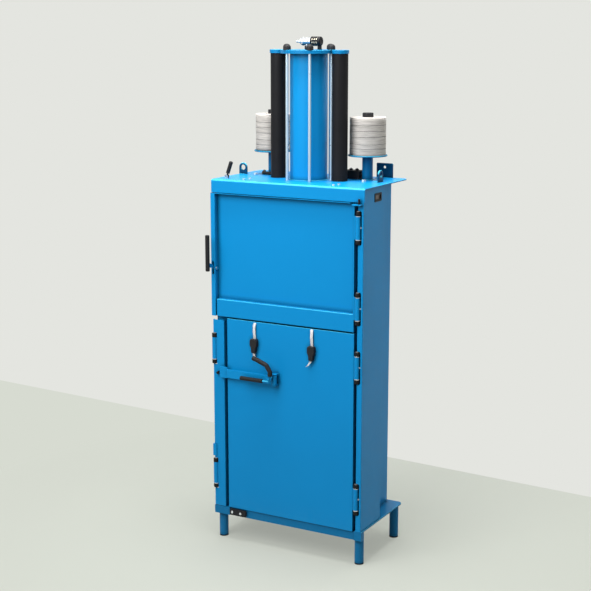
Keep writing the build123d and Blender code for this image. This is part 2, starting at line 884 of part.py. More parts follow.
# Valve block behind the right column and the air hose behind the left one
hose_y = front_y + hose_depth
hose_z = top_height + hose_dia / 2 + 0.3
with BuildPart() as air_valves:
    with BuildSketch(Plane.XY.offset(top_height)):
        with Locations((valve_x, front_y + valve_depth)):
            Rectangle(valve_width, valve_thick)
    extrude(amount=valve_height)
    fillet(air_valves.edges().filter_by(Axis.Z), 4)
    with BuildSketch(Plane.YZ.offset(valve_x + valve_width / 2)):
        with Locations((front_y + valve_depth, top_height + valve_port_up)):
            Circle(valve_port_radius)
    extrude(amount=valve_port_length)
    with BuildLine():
        FilletPolyline(
            (hose_start_x, hose_y, hose_z),
            (hose_bend_x, hose_y, hose_z),
            (hose_end_x, hose_y + hose_run, hose_z),
            radius=hose_bend,
        )
    with BuildSketch(Plane(origin=(hose_start_x, hose_y, hose_z), z_dir=(-1, 0, 0))):
        Circle(hose_dia / 2)
    sweep()
    with BuildSketch(Plane.XY.offset(top_height)):
        with Locations((hose_start_x + elbow_radius, hose_y)):
            Circle(elbow_radius)
    extrude(amount=hose_dia + 4)
save(air_valves.part, "air_valves")

# Control lever in its bracket at the left of the top plate
lever_y = front_y + control_depth
with BuildPart() as control_bracket:
    for offset in (-control_gap / 2 - sheet, control_gap / 2):
        with BuildSketch(Plane.XZ.offset(-lever_y - offset - sheet)):
            with Locations((control_x, top_height + control_pivot_up / 2)):
                Rectangle(2 * control_ear, control_pivot_up)
            with Locations((control_x, top_height + control_pivot_up)):
                Circle(control_ear)
                Circle(control_pin / 2 + slide_play, mode=Mode.SUBTRACT)
        extrude(amount=sheet)
save(control_bracket.part, "control_bracket")

lean = Plane(
    origin=(control_x, lever_y, top_height + control_pivot_up),
    z_dir=(sin(radians(control_lean)), 0, cos(radians(control_lean))),
)
with BuildPart() as control_lever:
    with BuildSketch(Plane.XZ.offset(-lever_y - control_gap / 2 + control_side)):
        with Locations((control_x, top_height + control_pivot_up)):
            Circle(control_ear - 1)
    extrude(amount=control_gap - 2 * control_side)
    with BuildSketch(Plane.XZ.offset(-lever_y - control_gap / 2 - sheet)):
        with Locations((control_x, top_height + control_pivot_up)):
            Circle(control_pin / 2)
    extrude(amount=control_gap + 2 * sheet)
    with BuildSketch(lean):
        Circle(control_rod / 2)
    extrude(amount=control_grip_start + control_ear)
    with BuildSketch(lean.offset(control_grip_start + control_ear)):
        Circle(control_grip_dia / 2)
    extrude(amount=control_grip_length)
    fillet(control_lever.faces().sort_by(Axis.Z)[-1].edges(), 4)
save(control_lever.part, "control_lever")

# Hinges: lugs and pins on the cabinet, barrels on the doors and the post
def hinge_rows(height):
    low = height - hinge_span / 2
    barrel_low = height - barrel_length / 2 + washer_thick / 2
    return low, barrel_low, barrel_low + barrel_length, height + hinge_span / 2


hinge_lines = (
    (right_hinge_x, right_frame_y, filling_hinges + bale_hinges),
    (left_hinge_x, left_frame_y, post_hinges),
)
with BuildPart() as hinge_lugs:
    for x, back_y, heights in hinge_lines:
        for height in heights:
            low, barrel_low, barrel_high, high = hinge_rows(height)
            for z0, z1 in ((low, barrel_low - washer_thick), (barrel_high + lug_gap, high)):
                with BuildSketch(Plane.XY.offset(z0)):
                    with Locations((x, hinge_y)):
                        Circle(lug_radius)
                    with Locations((x, (hinge_y + back_y) / 2)):
                        Rectangle(2 * lug_radius, back_y - hinge_y)
                    with Locations((x, hinge_y)):
                        Circle(pin_dia / 2 + pin_play, mode=Mode.SUBTRACT)
                extrude(amount=z1 - z0)
save(hinge_lugs.part, "hinge_lugs")

with BuildPart() as hinge_pins:
    for x, back_y, heights in hinge_lines:
        for height in heights:
            low, barrel_low, barrel_high, high = hinge_rows(height)
            with BuildSketch(Plane.XY.offset(low)):
                with Locations((x, hinge_y)):
                    Circle(pin_dia / 2)
            extrude(amount=high - low)
            with BuildSketch(Plane.XY.offset(high)):
                with Locations((x, hinge_y)):
                    Circle(pin_head_dia / 2)
            extrude(amount=pin_head_height)
save(hinge_pins.part, "hinge_pins")

with BuildPart() as hinge_washers:
    for x, back_y, heights in hinge_lines:
        for height in heights:
            low, barrel_low, barrel_high, high = hinge_rows(height)
            with BuildSketch(Plane.XY.offset(barrel_low - washer_thick)):
                with Locations((x, hinge_y)):
                    Circle(washer_dia / 2)
                    Circle(pin_dia / 2 + pin_play, mode=Mode.SUBTRACT)
            extrude(amount=washer_thick - lug_gap)
save(hinge_washers.part, "hinge_washers")


def barrel_set(x, edge_x, heights):
    with BuildPart() as barrels:
        for height in heights:
            low, barrel_low, barrel_high, high = hinge_rows(height)
            with BuildSketch(Plane.XY.offset(barrel_low)):
                with Locations((x, hinge_y)):
                    Circle(barrel_dia / 2)
                with Locations(((x + edge_x) / 2, front_y + leaf_depth / 2)):
                    Rectangle(abs(x - edge_x), leaf_depth)
                with Locations((x, hinge_y)):
                    Circle(pin_dia / 2 + pin_play, mode=Mode.SUBTRACT)
            extrude(amount=barrel_length)
    return barrels.part


save(barrel_set(right_hinge_x, filling_right, filling_hinges), "filling_door_barrels")
save(barrel_set(right_hinge_x, bale_right, bale_hinges), "bale_door_barrels")
save(barrel_set(left_hinge_x, post_notch_right, post_hinges), "post_barrels")


# Stop bracket with its pin on the right jamb, above the filling door's corner
with BuildPart() as stop_bracket:
    with BuildSketch(Plane.XY.offset(stop_z)):
        with Locations(((stop_left + stop_right) / 2, front_y - stop_out / 2)):
            RectangleRounded(stop_right - stop_left, stop_out, 2)
        with Locations((stop_pin_x, front_y - stop_out / 2)):
            Circle(stop_pin_dia / 2, mode=Mode.SUBTRACT)
    extrude(amount=stop_thick)
save(stop_bracket.part, "stop_bracket")

with BuildPart() as stop_pin:
    with BuildSketch(Plane.XY.offset(stop_z)):
        with Locations((stop_pin_x, front_y - stop_out / 2)):
            Circle(stop_pin_dia / 2)
    extrude(amount=stop_pin_top - stop_z)
    fillet(stop_pin.faces().sort_by(Axis.Z)[-1].edges(), 2)
save(stop_pin.part, "stop_pin")

# Filling door: recessed panel, rims, left flange and bottom band
panel_y = front_y + panel_depth
panel_back_y = panel_y + sheet
with BuildPart() as filling_panel:
    with BuildSketch(Plane.XZ.offset(-panel_back_y)):
        with BuildLine():
            Polyline(
                (flange_right - sheet, filling_bottom),
                (filling_right, filling_bottom),
                (filling_right, corner_cut_z),
                (corner_cut_x, corner_cut_z),
                (corner_cut_x, filling_top),
                (flange_right - sheet, filling_top),
                close=True,
            )
        make_face()
    extrude(amount=sheet)
save(filling_panel.part, "filling_door_panel")

with BuildPart() as door_rims:
    with BuildSketch(Plane.XY.offset(filling_bottom)):
        with Locations((filling_right - sheet / 2, front_y + panel_depth / 2)):
            Rectangle(sheet, panel_depth)
    extrude(amount=corner_cut_z - filling_bottom)
    with BuildSketch(Plane.XY.offset(filling_top)):
        with Locations(((flange_right + corner_cut_x) / 2, front_y + panel_depth / 2)):
            Rectangle(corner_cut_x - flange_right, panel_depth)
    extrude(amount=-sheet)
save(door_rims.part, "filling_door_rims")

with BuildPart() as door_flange:
    with BuildSketch(Plane.XY.offset(filling_bottom)):
        with BuildLine():
            Polyline(
                (flange_right, panel_y),
                (flange_right, front_y),
                (flange_left, front_y),
                (flange_left, front_y + flange_wrap),
                (flange_left + sheet, front_y + flange_wrap),
                (flange_left + sheet, front_y + sheet),
                (flange_right - sheet, front_y + sheet),
                (flange_right - sheet, panel_y),
                close=True,
            )
        make_face()
    extrude(amount=filling_top - filling_bottom)
    fillet(door_flange.edges().filter_by(Axis.Z).group_by(Axis.Y)[0], sheet_bend)
    # slot that the handle's arm comes through
    with BuildSketch(Plane.XZ.offset(-front_y - sheet)):
        with Locations((handle_x, (slot_bottom + slot_top) / 2)):
            SlotOverall(slot_top - slot_bottom, slot_width, rotation=90)
    extrude(amount=sheet, mode=Mode.SUBTRACT)
    with BuildSketch(Plane.YZ.offset(flange_left)):
        with Locations((handle_pivot_y, handle_pivot_z)):
            Circle(handle_bolt_dia / 2 + slide_play)
    extrude(amount=flange_right - flange_left, mode=Mode.SUBTRACT)
save(door_flange.part, "filling_door_flange")

with BuildPart() as door_band:
    with BuildSketch(Plane.YZ.offset(band_left)):
        with BuildLine():
            Polyline(
                (panel_y, filling_bottom),
                (front_y, filling_bottom),
                (front_y, band_top),
                (panel_y, band_top),
                (panel_y, band_top - sheet),
                (front_y + sheet, band_top - sheet),
                (front_y + sheet, filling_bottom + sheet),
                (panel_y, filling_bottom + sheet),
                close=True,
            )
        make_face()
    extrude(amount=filling_right - sheet - band_left)
    fillet(door_band.edges().filter_by(Axis.X).group_by(Axis.Y)[0], sheet_bend)
save(door_band.part, "filling_door_band")

# Handle of the filling door: arm on its pivot bolt, boss and upright grip
arm_tail = (handle_pivot_y + 12, handle_pivot_z - 10)
with BuildPart() as handle_arm:
    with BuildSketch(Plane.YZ.offset(handle_x - handle_plate / 2)):
        with BuildLine():
            Polyline(
                (grip_y + handle_grip_dia / 4, handle_boss_z + 11),
                (front_y - 4, handle_pivot_z + 16),
                (handle_pivot_y + 6, handle_pivot_z + 9),
                arm_tail,
                (handle_pivot_y - 6, handle_pivot_z - 9),
                (front_y - 4, handle_pivot_z + 2),
                (grip_y + handle_grip_dia / 4, handle_boss_z - 11),
                close=True,
            )
        make_face()
        with Locations((handle_pivot_y, handle_pivot_z)):
            Circle(handle_bolt_dia / 2 + slide_play, mode=Mode.SUBTRACT)
    extrude(amount=handle_plate)
save(handle_arm.part, "handle_arm")

with BuildPart() as handle_bolt:
    with BuildSketch(Plane.YZ.offset(flange_left)):
        with Locations((handle_pivot_y, handle_pivot_z)):
            Circle(handle_bolt_dia / 2)
    extrude(amount=flange_right - flange_left)
    with BuildSketch(Plane.YZ.offset(flange_right)):
        with Locations((handle_pivot_y, handle_pivot_z)):
            RegularPolygon(handle_bolt_dia * 0.9, 6)
    extrude(amount=bolt_head_height)
save(handle_bolt.part, "handle_bolt")

with BuildPart() as handle_grip:
    with BuildSketch(Plane.XY.offset(handle_grip_bottom)):
        with Locations((handle_x, grip_y)):
            Circle(handle_grip_dia / 2)
    extrude(amount=handle_grip_top - handle_grip_bottom)
    fillet(handle_grip.edges().filter_by(GeomType.CIRCLE), 3)
    # the arm's end sits in a slot across the grip
    with BuildSketch(Plane.YZ.offset(handle_x - handle_plate / 2)):
        with Locations((grip_y + handle_grip_dia / 4 + handle_grip_dia / 2, handle_boss_z)):
            Rectangle(handle_grip_dia, 2 * boss_half + 3)
    extrude(amount=handle_plate, mode=Mode.SUBTRACT)
save(handle_grip.part, "handle_grip")

# Bale door: outer skin, frame of bars and a plain inner sheet
bale_height = bale_top - bale_bottom
bale_middle = ((bale_left + bale_right) / 2, (bale_bottom + bale_top) / 2)
with BuildPart() as bale_skin_sheet:
    with BuildSketch(Plane.XZ.offset(-front_y - bale_skin)):
        with Locations(bale_middle):
            Rectangle(bale_right - bale_left, bale_height)
    extrude(amount=bale_skin)
    fillet(bale_skin_sheet.faces().sort_by(Axis.Y)[0].edges(), 1.5)
save(bale_skin_sheet.part, "bale_door_skin")

with BuildPart() as bale_frame:
    for x0, x1, z0, z1 in (
        (bale_left, bale_left + frame_bar, bale_bottom, bale_top),
        (bale_right - frame_bar, bale_right, bale_bottom, bale_top),
        (bale_left + frame_bar, bale_right - frame_bar, bale_bottom, bale_bottom + frame_bar),
        (bale_left + frame_bar, bale_right - frame_bar, bale_top - frame_bar, bale_top),
    ):
        with BuildSketch(Plane.XZ.offset(-front_y - bale_thick + sheet)):
            with Locations(((x0 + x1) / 2, (z0 + z1) / 2)):
                Rectangle(x1 - x0, z1 - z0)
        extrude(amount=bale_thick - sheet - bale_skin)
save(bale_frame.part, "bale_door_frame")

with BuildPart() as bale_inner:
    with BuildSketch(Plane.XZ.offset(-front_y - bale_thick)):
        with Locations(bale_middle):
            Rectangle(bale_right - bale_left, bale_height)
    extrude(amount=sheet)
save(bale_inner.part, "bale_door_inner_sheet")

# Lock bracket with two ears and the upright pin of the lock bar
lock_y = front_y - lock_out
with BuildPart() as lock_bracket:
    with BuildSketch(Plane.XZ.offset(-front_y)):
        with Locations((lock_x, (bar_bottom + bar_top) / 2)):
            RectangleRounded(2 * hub_radius, bar_top - bar_bottom + 2 * ear_thick + 2, 3)
    extrude(amount=sheet)
    for z in (bar_bottom - ear_gap - ear_thick, bar_top + ear_gap):
        with BuildSketch(Plane.XY.offset(z)):
            with Locations((lock_x, lock_y)):
                Circle(ear_radius)
            with Locations((lock_x, (lock_y + front_y - sheet) / 2)):
                Rectangle(2 * ear_radius, front_y - sheet - lock_y)
            with Locations((lock_x, lock_y)):
                Circle(lock_pin_dia / 2 + pin_play, mode=Mode.SUBTRACT)
        extrude(amount=ear_thick)
    with BuildSketch(Plane.XY.offset(bar_bottom - ear_gap - ear_thick)):
        with Locations((lock_x, lock_y)):
            Circle(lock_pin_dia / 2)
    extrude(amount=bar_top - bar_bottom + 2 * ear_gap + 2 * ear_thick)
save(lock_bracket.part, "lock_bracket")

# Lock bar: hub, flat bar and the end plate that bears on the post
bar_front_y = front_y - bar_out - bar_thick
end_front_y = front_y - end_plate_out - bar_thick
with BuildPart() as lock_bar:
    with BuildSketch(Plane.XY.offset(bar_bottom)):
        with BuildLine():
            Polyline(
                (lock_x, bar_front_y),
                (end_plate_right, bar_front_y),
                (end_plate_right - bar_jog, end_front_y),
                (end_plate_left, end_front_y),
                (end_plate_left, end_front_y + bar_thick),
                (end_plate_right - bar_jog / 2, end_front_y + bar_thick),
                (end_plate_right + bar_jog / 2, bar_front_y + bar_thick),
                (lock_x, bar_front_y + bar_thick),
                close=True,
            )
        make_face()
        with Locations((lock_x, lock_y)):
            Circle(hub_radius)
            Circle(lock_pin_dia / 2 + pin_play, mode=Mode.SUBTRACT)
    extrude(amount=bar_top - bar_bottom)
    # the end plate is higher than the bar, above and below
    with BuildSketch(Plane.XY.offset(bar_bottom - end_lip)):
        with Locations(((end_plate_left + end_plate_right - bar_jog) / 2, end_front_y + bar_thick / 2)):
            Rectangle(end_plate_right - bar_jog - end_plate_left, bar_thick)
    extrude(amount=bar_height + 2 * end_lip)
    # stud that the hand lever turns on
    with BuildSketch(Plane.XZ.offset(-bar_front_y - bar_thick)):
        with Locations((lever_x, lever_z)):
            Circle(stud_dia / 2)
    extrude(amount=lever_out + rod_dia - bar_out)
    # the stud starts in the bar and stays clear of the pin's bore
    with BuildSketch(Plane.XY.offset(bar_bottom)):
        with Locations((lock_x, lock_y)):
            Circle(lock_pin_dia / 2 + pin_play)
    extrude(amount=bar_top - bar_bottom, mode=Mode.SUBTRACT)
save(lock_bar.part, "lock_bar")

# Hand lever: bent rod on the stud, grip along the bar and the cranked upper arm
lever_y_out = front_y - lever_out
with BuildPart() as lever_rod:
    with BuildLine():
        FilletPolyline(
            (grip_right, lever_y_out, grip_z),
            (arm_points[-1][0], lever_y_out, grip_z),
            (arm_points[-1][0], lever_y_out, arm_points[-1][1]),
            radius=rod_bend,
        )
    with BuildSketch(Plane(origin=(grip_right, lever_y_out, grip_z), z_dir=(1, 0, 0))):
        Circle(rod_dia / 2)
    sweep()
    with BuildSketch(Plane.XZ.offset(-lever_y_out - rod_dia / 2)):
        with Locations((lever_x, lever_z)):
            Circle(lever_eye)
    extrude(amount=rod_dia)
    with BuildSketch(Plane.XZ.offset(-lever_y_out - rod_dia / 2)):
        with Locations((lever_x, lever_z)):
            Circle(stud_dia / 2 + pin_play)
    extrude(amount=rod_dia, mode=Mode.SUBTRACT)
save(lever_rod.part, "lever_rod")

# black sleeves of the lever
with BuildPart() as lever_sleeves:
    with BuildSketch(Plane(origin=(grip_right, lever_y_out, grip_z), z_dir=(-1, 0, 0))):
        Circle(grip_dia / 2)
    extrude(amount=grip_length)
    fillet(lever_sleeves.edges().filter_by(GeomType.CIRCLE), 3)
    with BuildLine():
        FilletPolyline(
            *[(x, lever_y_out, z) for x, z in reversed(arm_points)],
            radius=arm_bend,
        )
    arm_run = Vector(
        arm_points[-2][0] - arm_points[-1][0], 0, arm_points[-2][1] - arm_points[-1][1]
    )
    with BuildSketch(Plane(origin=(arm_points[-1][0], lever_y_out, arm_points[-1][1]), z_dir=arm_run)):
        Circle(arm_dia / 2)
    sweep()
    fillet(lever_sleeves.faces().sort_by(Axis.Z)[-1].edges(), 4)
save(lever_sleeves.part, "lever_sleeves")

# Straps hung down the face of the bale door, each held by its holder
with BuildPart() as straps:
    for x, tail_run in zip(strap_x, tail_runs):
        with BuildSketch(Plane.XZ.offset(-front_y + strap_stand)):
            with BuildLine():
                Polyline(
                    (x - strap_width / 2, strap_high),
                    (x + strap_width / 2, strap_high),
                    (x + strap_width / 2, holder_bottom),
                    (x + strap_width / 2 - tail_run, tail_low),
                    (x - strap_width / 2 - tail_run, tail_low),
                    (x - strap_width / 2, holder_bottom),
                    close=True,
                )
            make_face()
        extrude(amount=strap_thick)
save(straps.part, "straps")

with BuildPart() as strap_holders:
    for x in strap_x:
        with BuildSketch(Plane.XZ.offset(-front_y)):
            right_line = [(x + half, holder_top + drop) for half, drop in holder_line]
            left_line = [(x - half, holder_top + drop) for half, drop in reversed(holder_line)]
            with BuildLine():
                Polyline(*right_line, *left_line, close=True)
            make_face()
        extrude(amount=holder_thick)
    fillet(strap_holders.edges().filter_by(Axis.Y), holder_round)
    fillet(strap_holders.faces().group_by(Axis.Y)[0].edges(), holder_round)
    # the strap runs behind the holder's body
    with BuildSketch(Plane.XZ.offset(-front_y)):
        with Locations(*[(x, (holder_top + holder_bottom) / 2) for x in strap_x]):
            Rectangle(strap_width + 1, holder_top - holder_bottom)
    extrude(amount=strap_stand + strap_thick, mode=Mode.SUBTRACT)
save(strap_holders.part, "strap_holders")

# Locking post with its notches, stud and side bracket
with BuildPart() as locking_post:
    with BuildSketch(Plane.XY.offset(post_bottom)):
        with BuildLine():
            Polyline(
                (post_left, front_y),
                (post_right, front_y),
                (post_right, front_y + post_reach),
                (post_right - sheet, front_y + post_reach),
                (post_right - sheet, front_y + sheet),
                (post_left + sheet, front_y + sheet),
                (post_left + sheet, front_y + post_lip),
                (post_left, front_y + post_lip),
                close=True,
            )
        make_face()
    extrude(amount=post_top - post_bottom)
    fillet(locking_post.edges().filter_by(Axis.Z).group_by(Axis.Y)[0], sheet_bend)
    for z in post_hinges:
        with BuildSketch(Plane.XZ.offset(-front_y - post_lip)):
            with Locations((post_left, z)):
                RectangleRounded(
                    2 * (post_notch_right - post_left), hinge_span + 2 * notch_clear, post_notch_radius
                )
        extrude(amount=post_lip, mode=Mode.SUBTRACT)
    # small bracket on its outer side
    with BuildSketch(Plane.XY.offset(post_bracket_low)):
        with BuildLine():
            Polyline(
                (post_left, front_y + post_lip),
                (post_left - bracket_side, front_y + post_lip),
                (post_left - bracket_side, front_y - sheet),
                (post_left + bracket_lap, front_y - sheet),
                (post_left + bracket_lap, front_y),
                (post_left, front_y),
                close=True,
            )
        make_face()
    extrude(amount=post_bracket_high - post_bracket_low)
save(locking_post.part, "locking_post")

with BuildPart() as post_stud:
    with BuildSketch(Plane.XZ.offset(-front_y)):
        with Locations((stud_x, stud_z)):
            Circle(stud_head / 2)
    extrude(amount=stud_reach)
    fillet(post_stud.faces().sort_by(Axis.Y)[0].edges(), 2)
save(post_stud.part, "post_stud")

# Press: tray plate, rod with piston, and the two guide rods
with BuildPart() as press_plate:
    with BuildSketch(Plane.XY.offset(press_top - press_height)):
        with Locations((0, front_y + (press_front + press_rear) / 2)):
            Rectangle(2 * press_half, press_rear - press_front)
    extrude(amount=press_height)
    with BuildSketch(Plane.XY.offset(press_top)):
        with Locations((0, front_y + (press_front + press_rear) / 2)):
            Rectangle(2 * (press_half - press_rim), press_rear - press_front - 2 * press_rim)
    extrude(amount=-(press_height - press_skin), mode=Mode.SUBTRACT)
save(press_plate.part, "press_plate")

press_floor = press_top - press_height + press_skin
with BuildPart() as press_rods:
    with BuildSketch(Plane.XY.offset(press_floor)):
        with Locations((0, axis_y)):
            Circle(ram_rod_dia / 2)
    extrude(amount=piston_top - piston_height - press_floor)
    with BuildSketch(Plane.XY.offset(press_floor)):
        with Locations((-column_x, axis_y), (column_x, axis_y)):
            Circle(guide_rod_dia / 2)
    extrude(amount=piston_top - press_floor)
    with BuildSketch(Plane.XY.offset(piston_top - piston_height)):
        with Locations((0, axis_y)):
            Circle(tube_dia / 2 - tube_wall - piston_play)
    extrude(amount=piston_height)
save(press_rods.part, "press_rods")
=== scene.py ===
import json
import math
import random

import bmesh
import bpy
from mathutils import Matrix, Vector, noise


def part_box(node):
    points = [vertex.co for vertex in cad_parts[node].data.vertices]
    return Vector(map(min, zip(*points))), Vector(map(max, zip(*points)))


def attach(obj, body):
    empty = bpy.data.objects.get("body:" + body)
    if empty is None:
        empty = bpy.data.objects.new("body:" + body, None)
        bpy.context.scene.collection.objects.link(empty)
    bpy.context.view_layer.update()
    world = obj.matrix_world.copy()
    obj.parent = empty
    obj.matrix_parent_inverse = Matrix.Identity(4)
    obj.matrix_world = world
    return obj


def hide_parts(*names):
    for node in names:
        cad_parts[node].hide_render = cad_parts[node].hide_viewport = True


random.seed(11)
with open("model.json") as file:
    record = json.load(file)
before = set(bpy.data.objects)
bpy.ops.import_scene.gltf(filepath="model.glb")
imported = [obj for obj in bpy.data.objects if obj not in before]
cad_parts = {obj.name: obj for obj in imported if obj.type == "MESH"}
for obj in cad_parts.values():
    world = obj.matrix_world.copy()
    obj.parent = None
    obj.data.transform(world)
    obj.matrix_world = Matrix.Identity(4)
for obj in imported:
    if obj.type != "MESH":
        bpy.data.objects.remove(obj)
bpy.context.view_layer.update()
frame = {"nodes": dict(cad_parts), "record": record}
scene = bpy.context.scene
scene.view_settings.view_transform = "Standard"
print("solids loaded:", len(frame["nodes"]))


# materials: arithmetic on sockets


class Signal:  # one socket, with plain arithmetic on it
    def __init__(self, tree, socket):
        self.tree = tree
        self.socket = socket

    def maths(self, operation, first, second):
        return self.tree.add("ShaderNodeMath", {"operation": operation}, {0: first, 1: second})

    def __add__(self, other):
        return self.maths("ADD", self, other)

    def __radd__(self, other):
        return self.maths("ADD", other, self)

    def __sub__(self, other):
        return self.maths("SUBTRACT", self, other)

    def __rsub__(self, other):
        return self.maths("SUBTRACT", other, self)

    def __mul__(self, other):
        return self.maths("MULTIPLY", self, other)

    def __rmul__(self, other):
        return self.maths("MULTIPLY", other, self)

    def __pow__(self, other):
        return self.maths("POWER", self, other)

    def above(self, edge, soft):  # 0 below the edge, 1 above it, soft between
        ends = {"From Min": edge - soft, "From Max": edge + soft}
        return self.tree.add("ShaderNodeMapRange", {"clamp": True}, {"Value": self, **ends})


class NodeTree:  # the nodes of a material or of the world
    def __init__(self, owner):
        owner.use_nodes = True
        self.nodes = owner.node_tree.nodes
        self.links = owner.node_tree.links

    def add(self, kind, settings, inputs, output=0):
        node = self.nodes.new(kind)
        for label, value in settings.items():
            setattr(node, label, value)
        for label, value in inputs.items():
            self.feed(node.inputs[label], value)
        return Signal(self, node.outputs[output])

    def feed(self, socket, value):
        if isinstance(value, Signal):
            self.links.new(value.socket, socket)
        else:
            socket.default_value = value


# samples and curve of the painted shade in gaps, and where the painted highlight on folds begins
edgeLook = {
    "gapSamples": 6,
    "gapCurve": 1.4,
    "foldEdge": (0.55, 0.3),  # how far an edge leans before it counts as a fold, and the soft part
}


class Finish(NodeTree):  # a material built up node by node
    def __init__(self, name, fixed):
        self.material = bpy.data.materials.new(name)
        super().__init__(self.material)
        self.shader = self.nodes["Principled BSDF"]
        for label, value in fixed.items():
            self.shader.inputs[label].default_value = value
        self.place = self.add("ShaderNodeTexCoord", {}, {}, "Object")

    def use(self, label, value):
        self.feed(self.shader.inputs[label], value)

    def axis(self, name):
        return self.add("ShaderNodeSeparateXYZ", {}, {0: self.place}, name)

    def stretched(self, x, y, z):  # the place, scaled for each axis
        scale = {"operation": "MULTIPLY"}
        return self.add("ShaderNodeVectorMath", scale, {0: self.place, 1: (x, y, z)})

    def cloud(self, scale, detail=2.0, stretch=None):
        place = self.stretched(*stretch) if stretch else self.place
        inputs = {"Vector": place, "Scale": scale, "Detail": detail}
        return self.add("ShaderNodeTexNoise", {}, inputs)

    def between(self, share, first, second):  # colour mix
        inputs = {0: share, 6: first, 7: second}
        return self.add("ShaderNodeMix", {"data_type": "RGBA"}, inputs, 2)

    def creviceShade(self, reach, darkest):  # painted shade from ambient occlusion: 1 in the open, down to darkest in narrow gaps
        samples = {"samples": edgeLook["gapSamples"]}
        openness = self.add("ShaderNodeAmbientOcclusion", samples, {"Distance": reach}, "AO")
        return darkest + openness ** edgeLook["gapCurve"] * (1 - darkest)

    def slope(self):  # 1 on faces that look up, -1 on those that look down
        normal = self.add("ShaderNodeNewGeometry", {}, {}, "Normal")
        return self.add("ShaderNodeSeparateXYZ", {}, {0: normal}, "Z")

    def upperFold(self):  # 1 on rounded edges between a top and a side, 0 on flat faces
        rise = self.slope()
        return (rise * (1 - rise * rise) ** 0.5 * 2).above(*edgeLook["foldEdge"])

    def relief(self, height, depth, strength):
        inputs = {"Height": height, "Distance": depth, "Strength": strength}
        self.use("Normal", self.add("ShaderNodeBump", {}, inputs))


def tint(red, green, blue):  # screen colour to the linear one that sockets take
    parts = [value / 255 for value in (red, green, blue)]
    linear = [p / 12.92 if p < 0.04045 else ((p + 0.055) / 1.055) ** 2.4 for p in parts]
    return (*linear, 1.0)


def scaled(colour, share):
    return (colour[0] * share, colour[1] * share, colour[2] * share, 1.0)


paintLook = {
    "blue": tint(14, 150, 220),
    "navy": tint(5, 78, 118),
    # painted shade: darker copies of the blue for the reel stands, head plate, low parts and
    # lifting eyes
    "stands": tint(9, 112, 166),
    "head": tint(11, 126, 186),
    "low": tint(10, 124, 182),
    "eyes": tint(5, 74, 114),
    "specular": 0.16,
    "cloudScale": 3.2,
    "mottleScale": 44.8,
    "shift": 0.05,
    "roughness": 0.36,
    "roughnessShift": 0.10,
    "peelScale": 620.0,
    "peelDepth": 0.00009,
    "peelStrength": 0.5,
    "dustTop": 0.24,
    "dust": tint(120, 150, 165),
    "dustShare": 0.10,
    "dustEdge": (0.45, 0.2),
    "fold": tint(84, 220, 252),  # painted highlight: pale cyan on rounded folds that face up, where the top lamp glints
    "foldShare": 0.75,
    "bounceDull": 0.7,  # how much of the colour that it throws on other faces is dulled
    "bounceTone": tint(40, 84, 104),
    # painted shade in narrow gaps: its reach, its darkest share and the colour it darkens to
    "gapReach": 0.022,
    "gapTone": 0.16,
    "gapShade": 0.02,
}


def powderPaint(name, colour):
    look = paintLook
    finish = Finish(name, {"Specular IOR Level": look["specular"]})
    drift = finish.cloud(look["cloudScale"], detail=3.0)
    mottle = finish.cloud(look["mottleScale"], detail=4.0)
    shift = look["shift"]
    coat = finish.between(drift, scaled(colour, 1 - shift), scaled(colour, 1 + shift))
    low = 1 - finish.axis("Z").above(look["dustTop"] / 2, look["dustTop"] / 2)
    film = low * look["dustShare"] * mottle.above(*look["dustEdge"])
    dusty = finish.between(film, coat, look["dust"])
    # painted shade in gaps and under parts, from ambient occlusion
    gapShadeShare = 1 - finish.creviceShade(look["gapReach"], look["gapTone"])
    # painted highlight on folds that face up
    foldHighlighted = finish.between(finish.upperFold() * look["foldShare"], dusty, look["fold"])
    shaded = finish.between(gapShadeShare, foldHighlighted, scaled(colour, look["gapShade"]))
    bounce = finish.add("ShaderNodeLightPath", {}, {}, "Is Diffuse Ray") * look["bounceDull"]
    finish.use("Base Color", finish.between(bounce, shaded, look["bounceTone"]))
    finish.use("Roughness", look["roughness"] + (mottle - 0.5) * look["roughnessShift"] + film)
    finish.relief(finish.cloud(look["peelScale"]), look["peelDepth"], look["peelStrength"])
    return finish.material


steelLook = {
    "bright": tint(232, 235, 238),
    "dull": tint(196, 199, 202),
    "lineStretch": (60.0, 60.0, 1.5),
    "lineScale": 26.0,
    "lineRough": 0.16,
    "lineDepth": 0.00006,
    "lineStrength": 0.35,
    "stainScale": 9.0,
    "stainRough": 0.1,
    "roughness": 0.30,
}


def brightSteel(name):
    look = steelLook
    finish = Finish(name, {"Metallic": 1.0})
    lines = finish.cloud(look["lineScale"], detail=3.0, stretch=look["lineStretch"])
    stains = finish.cloud(look["stainScale"], detail=4.0)
    share = lines * 0.5 + stains * 0.5
    finish.use("Base Color", finish.between(share, look["dull"], look["bright"]))
    lined = look["roughness"] + (lines - 0.5) * look["lineRough"]
    finish.use("Roughness", lined + (stains - 0.5) * look["stainRough"])
    finish.relief(lines, look["lineDepth"], look["lineStrength"])
    return finish.material


zincLook = {
    "specular": 0.5,
    "stainScale": 30.0,
    "stainEdge": (0.5, 0.3),
    "stainShare": 0.7,
    "stainRough": 0.16,
    "lineDepth": 0.00005,
    "lineStrength": 0.1,
}


def zinc(name, light, dark, roughness, metal):  # pale plating
    look = zincLook
    finish = Finish(name, {"Metallic": metal, "Specular IOR Level": look["specular"]})
    stains = finish.cloud(look["stainScale"], detail=4.0)
    lines = finish.cloud(steelLook["lineScale"], detail=3.0, stretch=steelLook["lineStretch"])
    stained = stains.above(*look["stainEdge"]) * look["stainShare"]
    share = stained + lines * (1 - look["stainShare"])
    finish.use("Base Color", finish.between(share, light, dark))
    finish.use("Roughness", roughness + (stains - 0.5) * look["stainRough"])
    finish.relief(lines, look["lineDepth"], look["lineStrength"])
    return finish.material


bronzeLook = {
    "stainScale": 70.0,
    "stainEdge": (0.5, 0.18),
    "stainRough": 0.25,
    "grainScale": 900.0,
    "grainDepth": 0.00008,
    "grainStrength": 0.4,
}


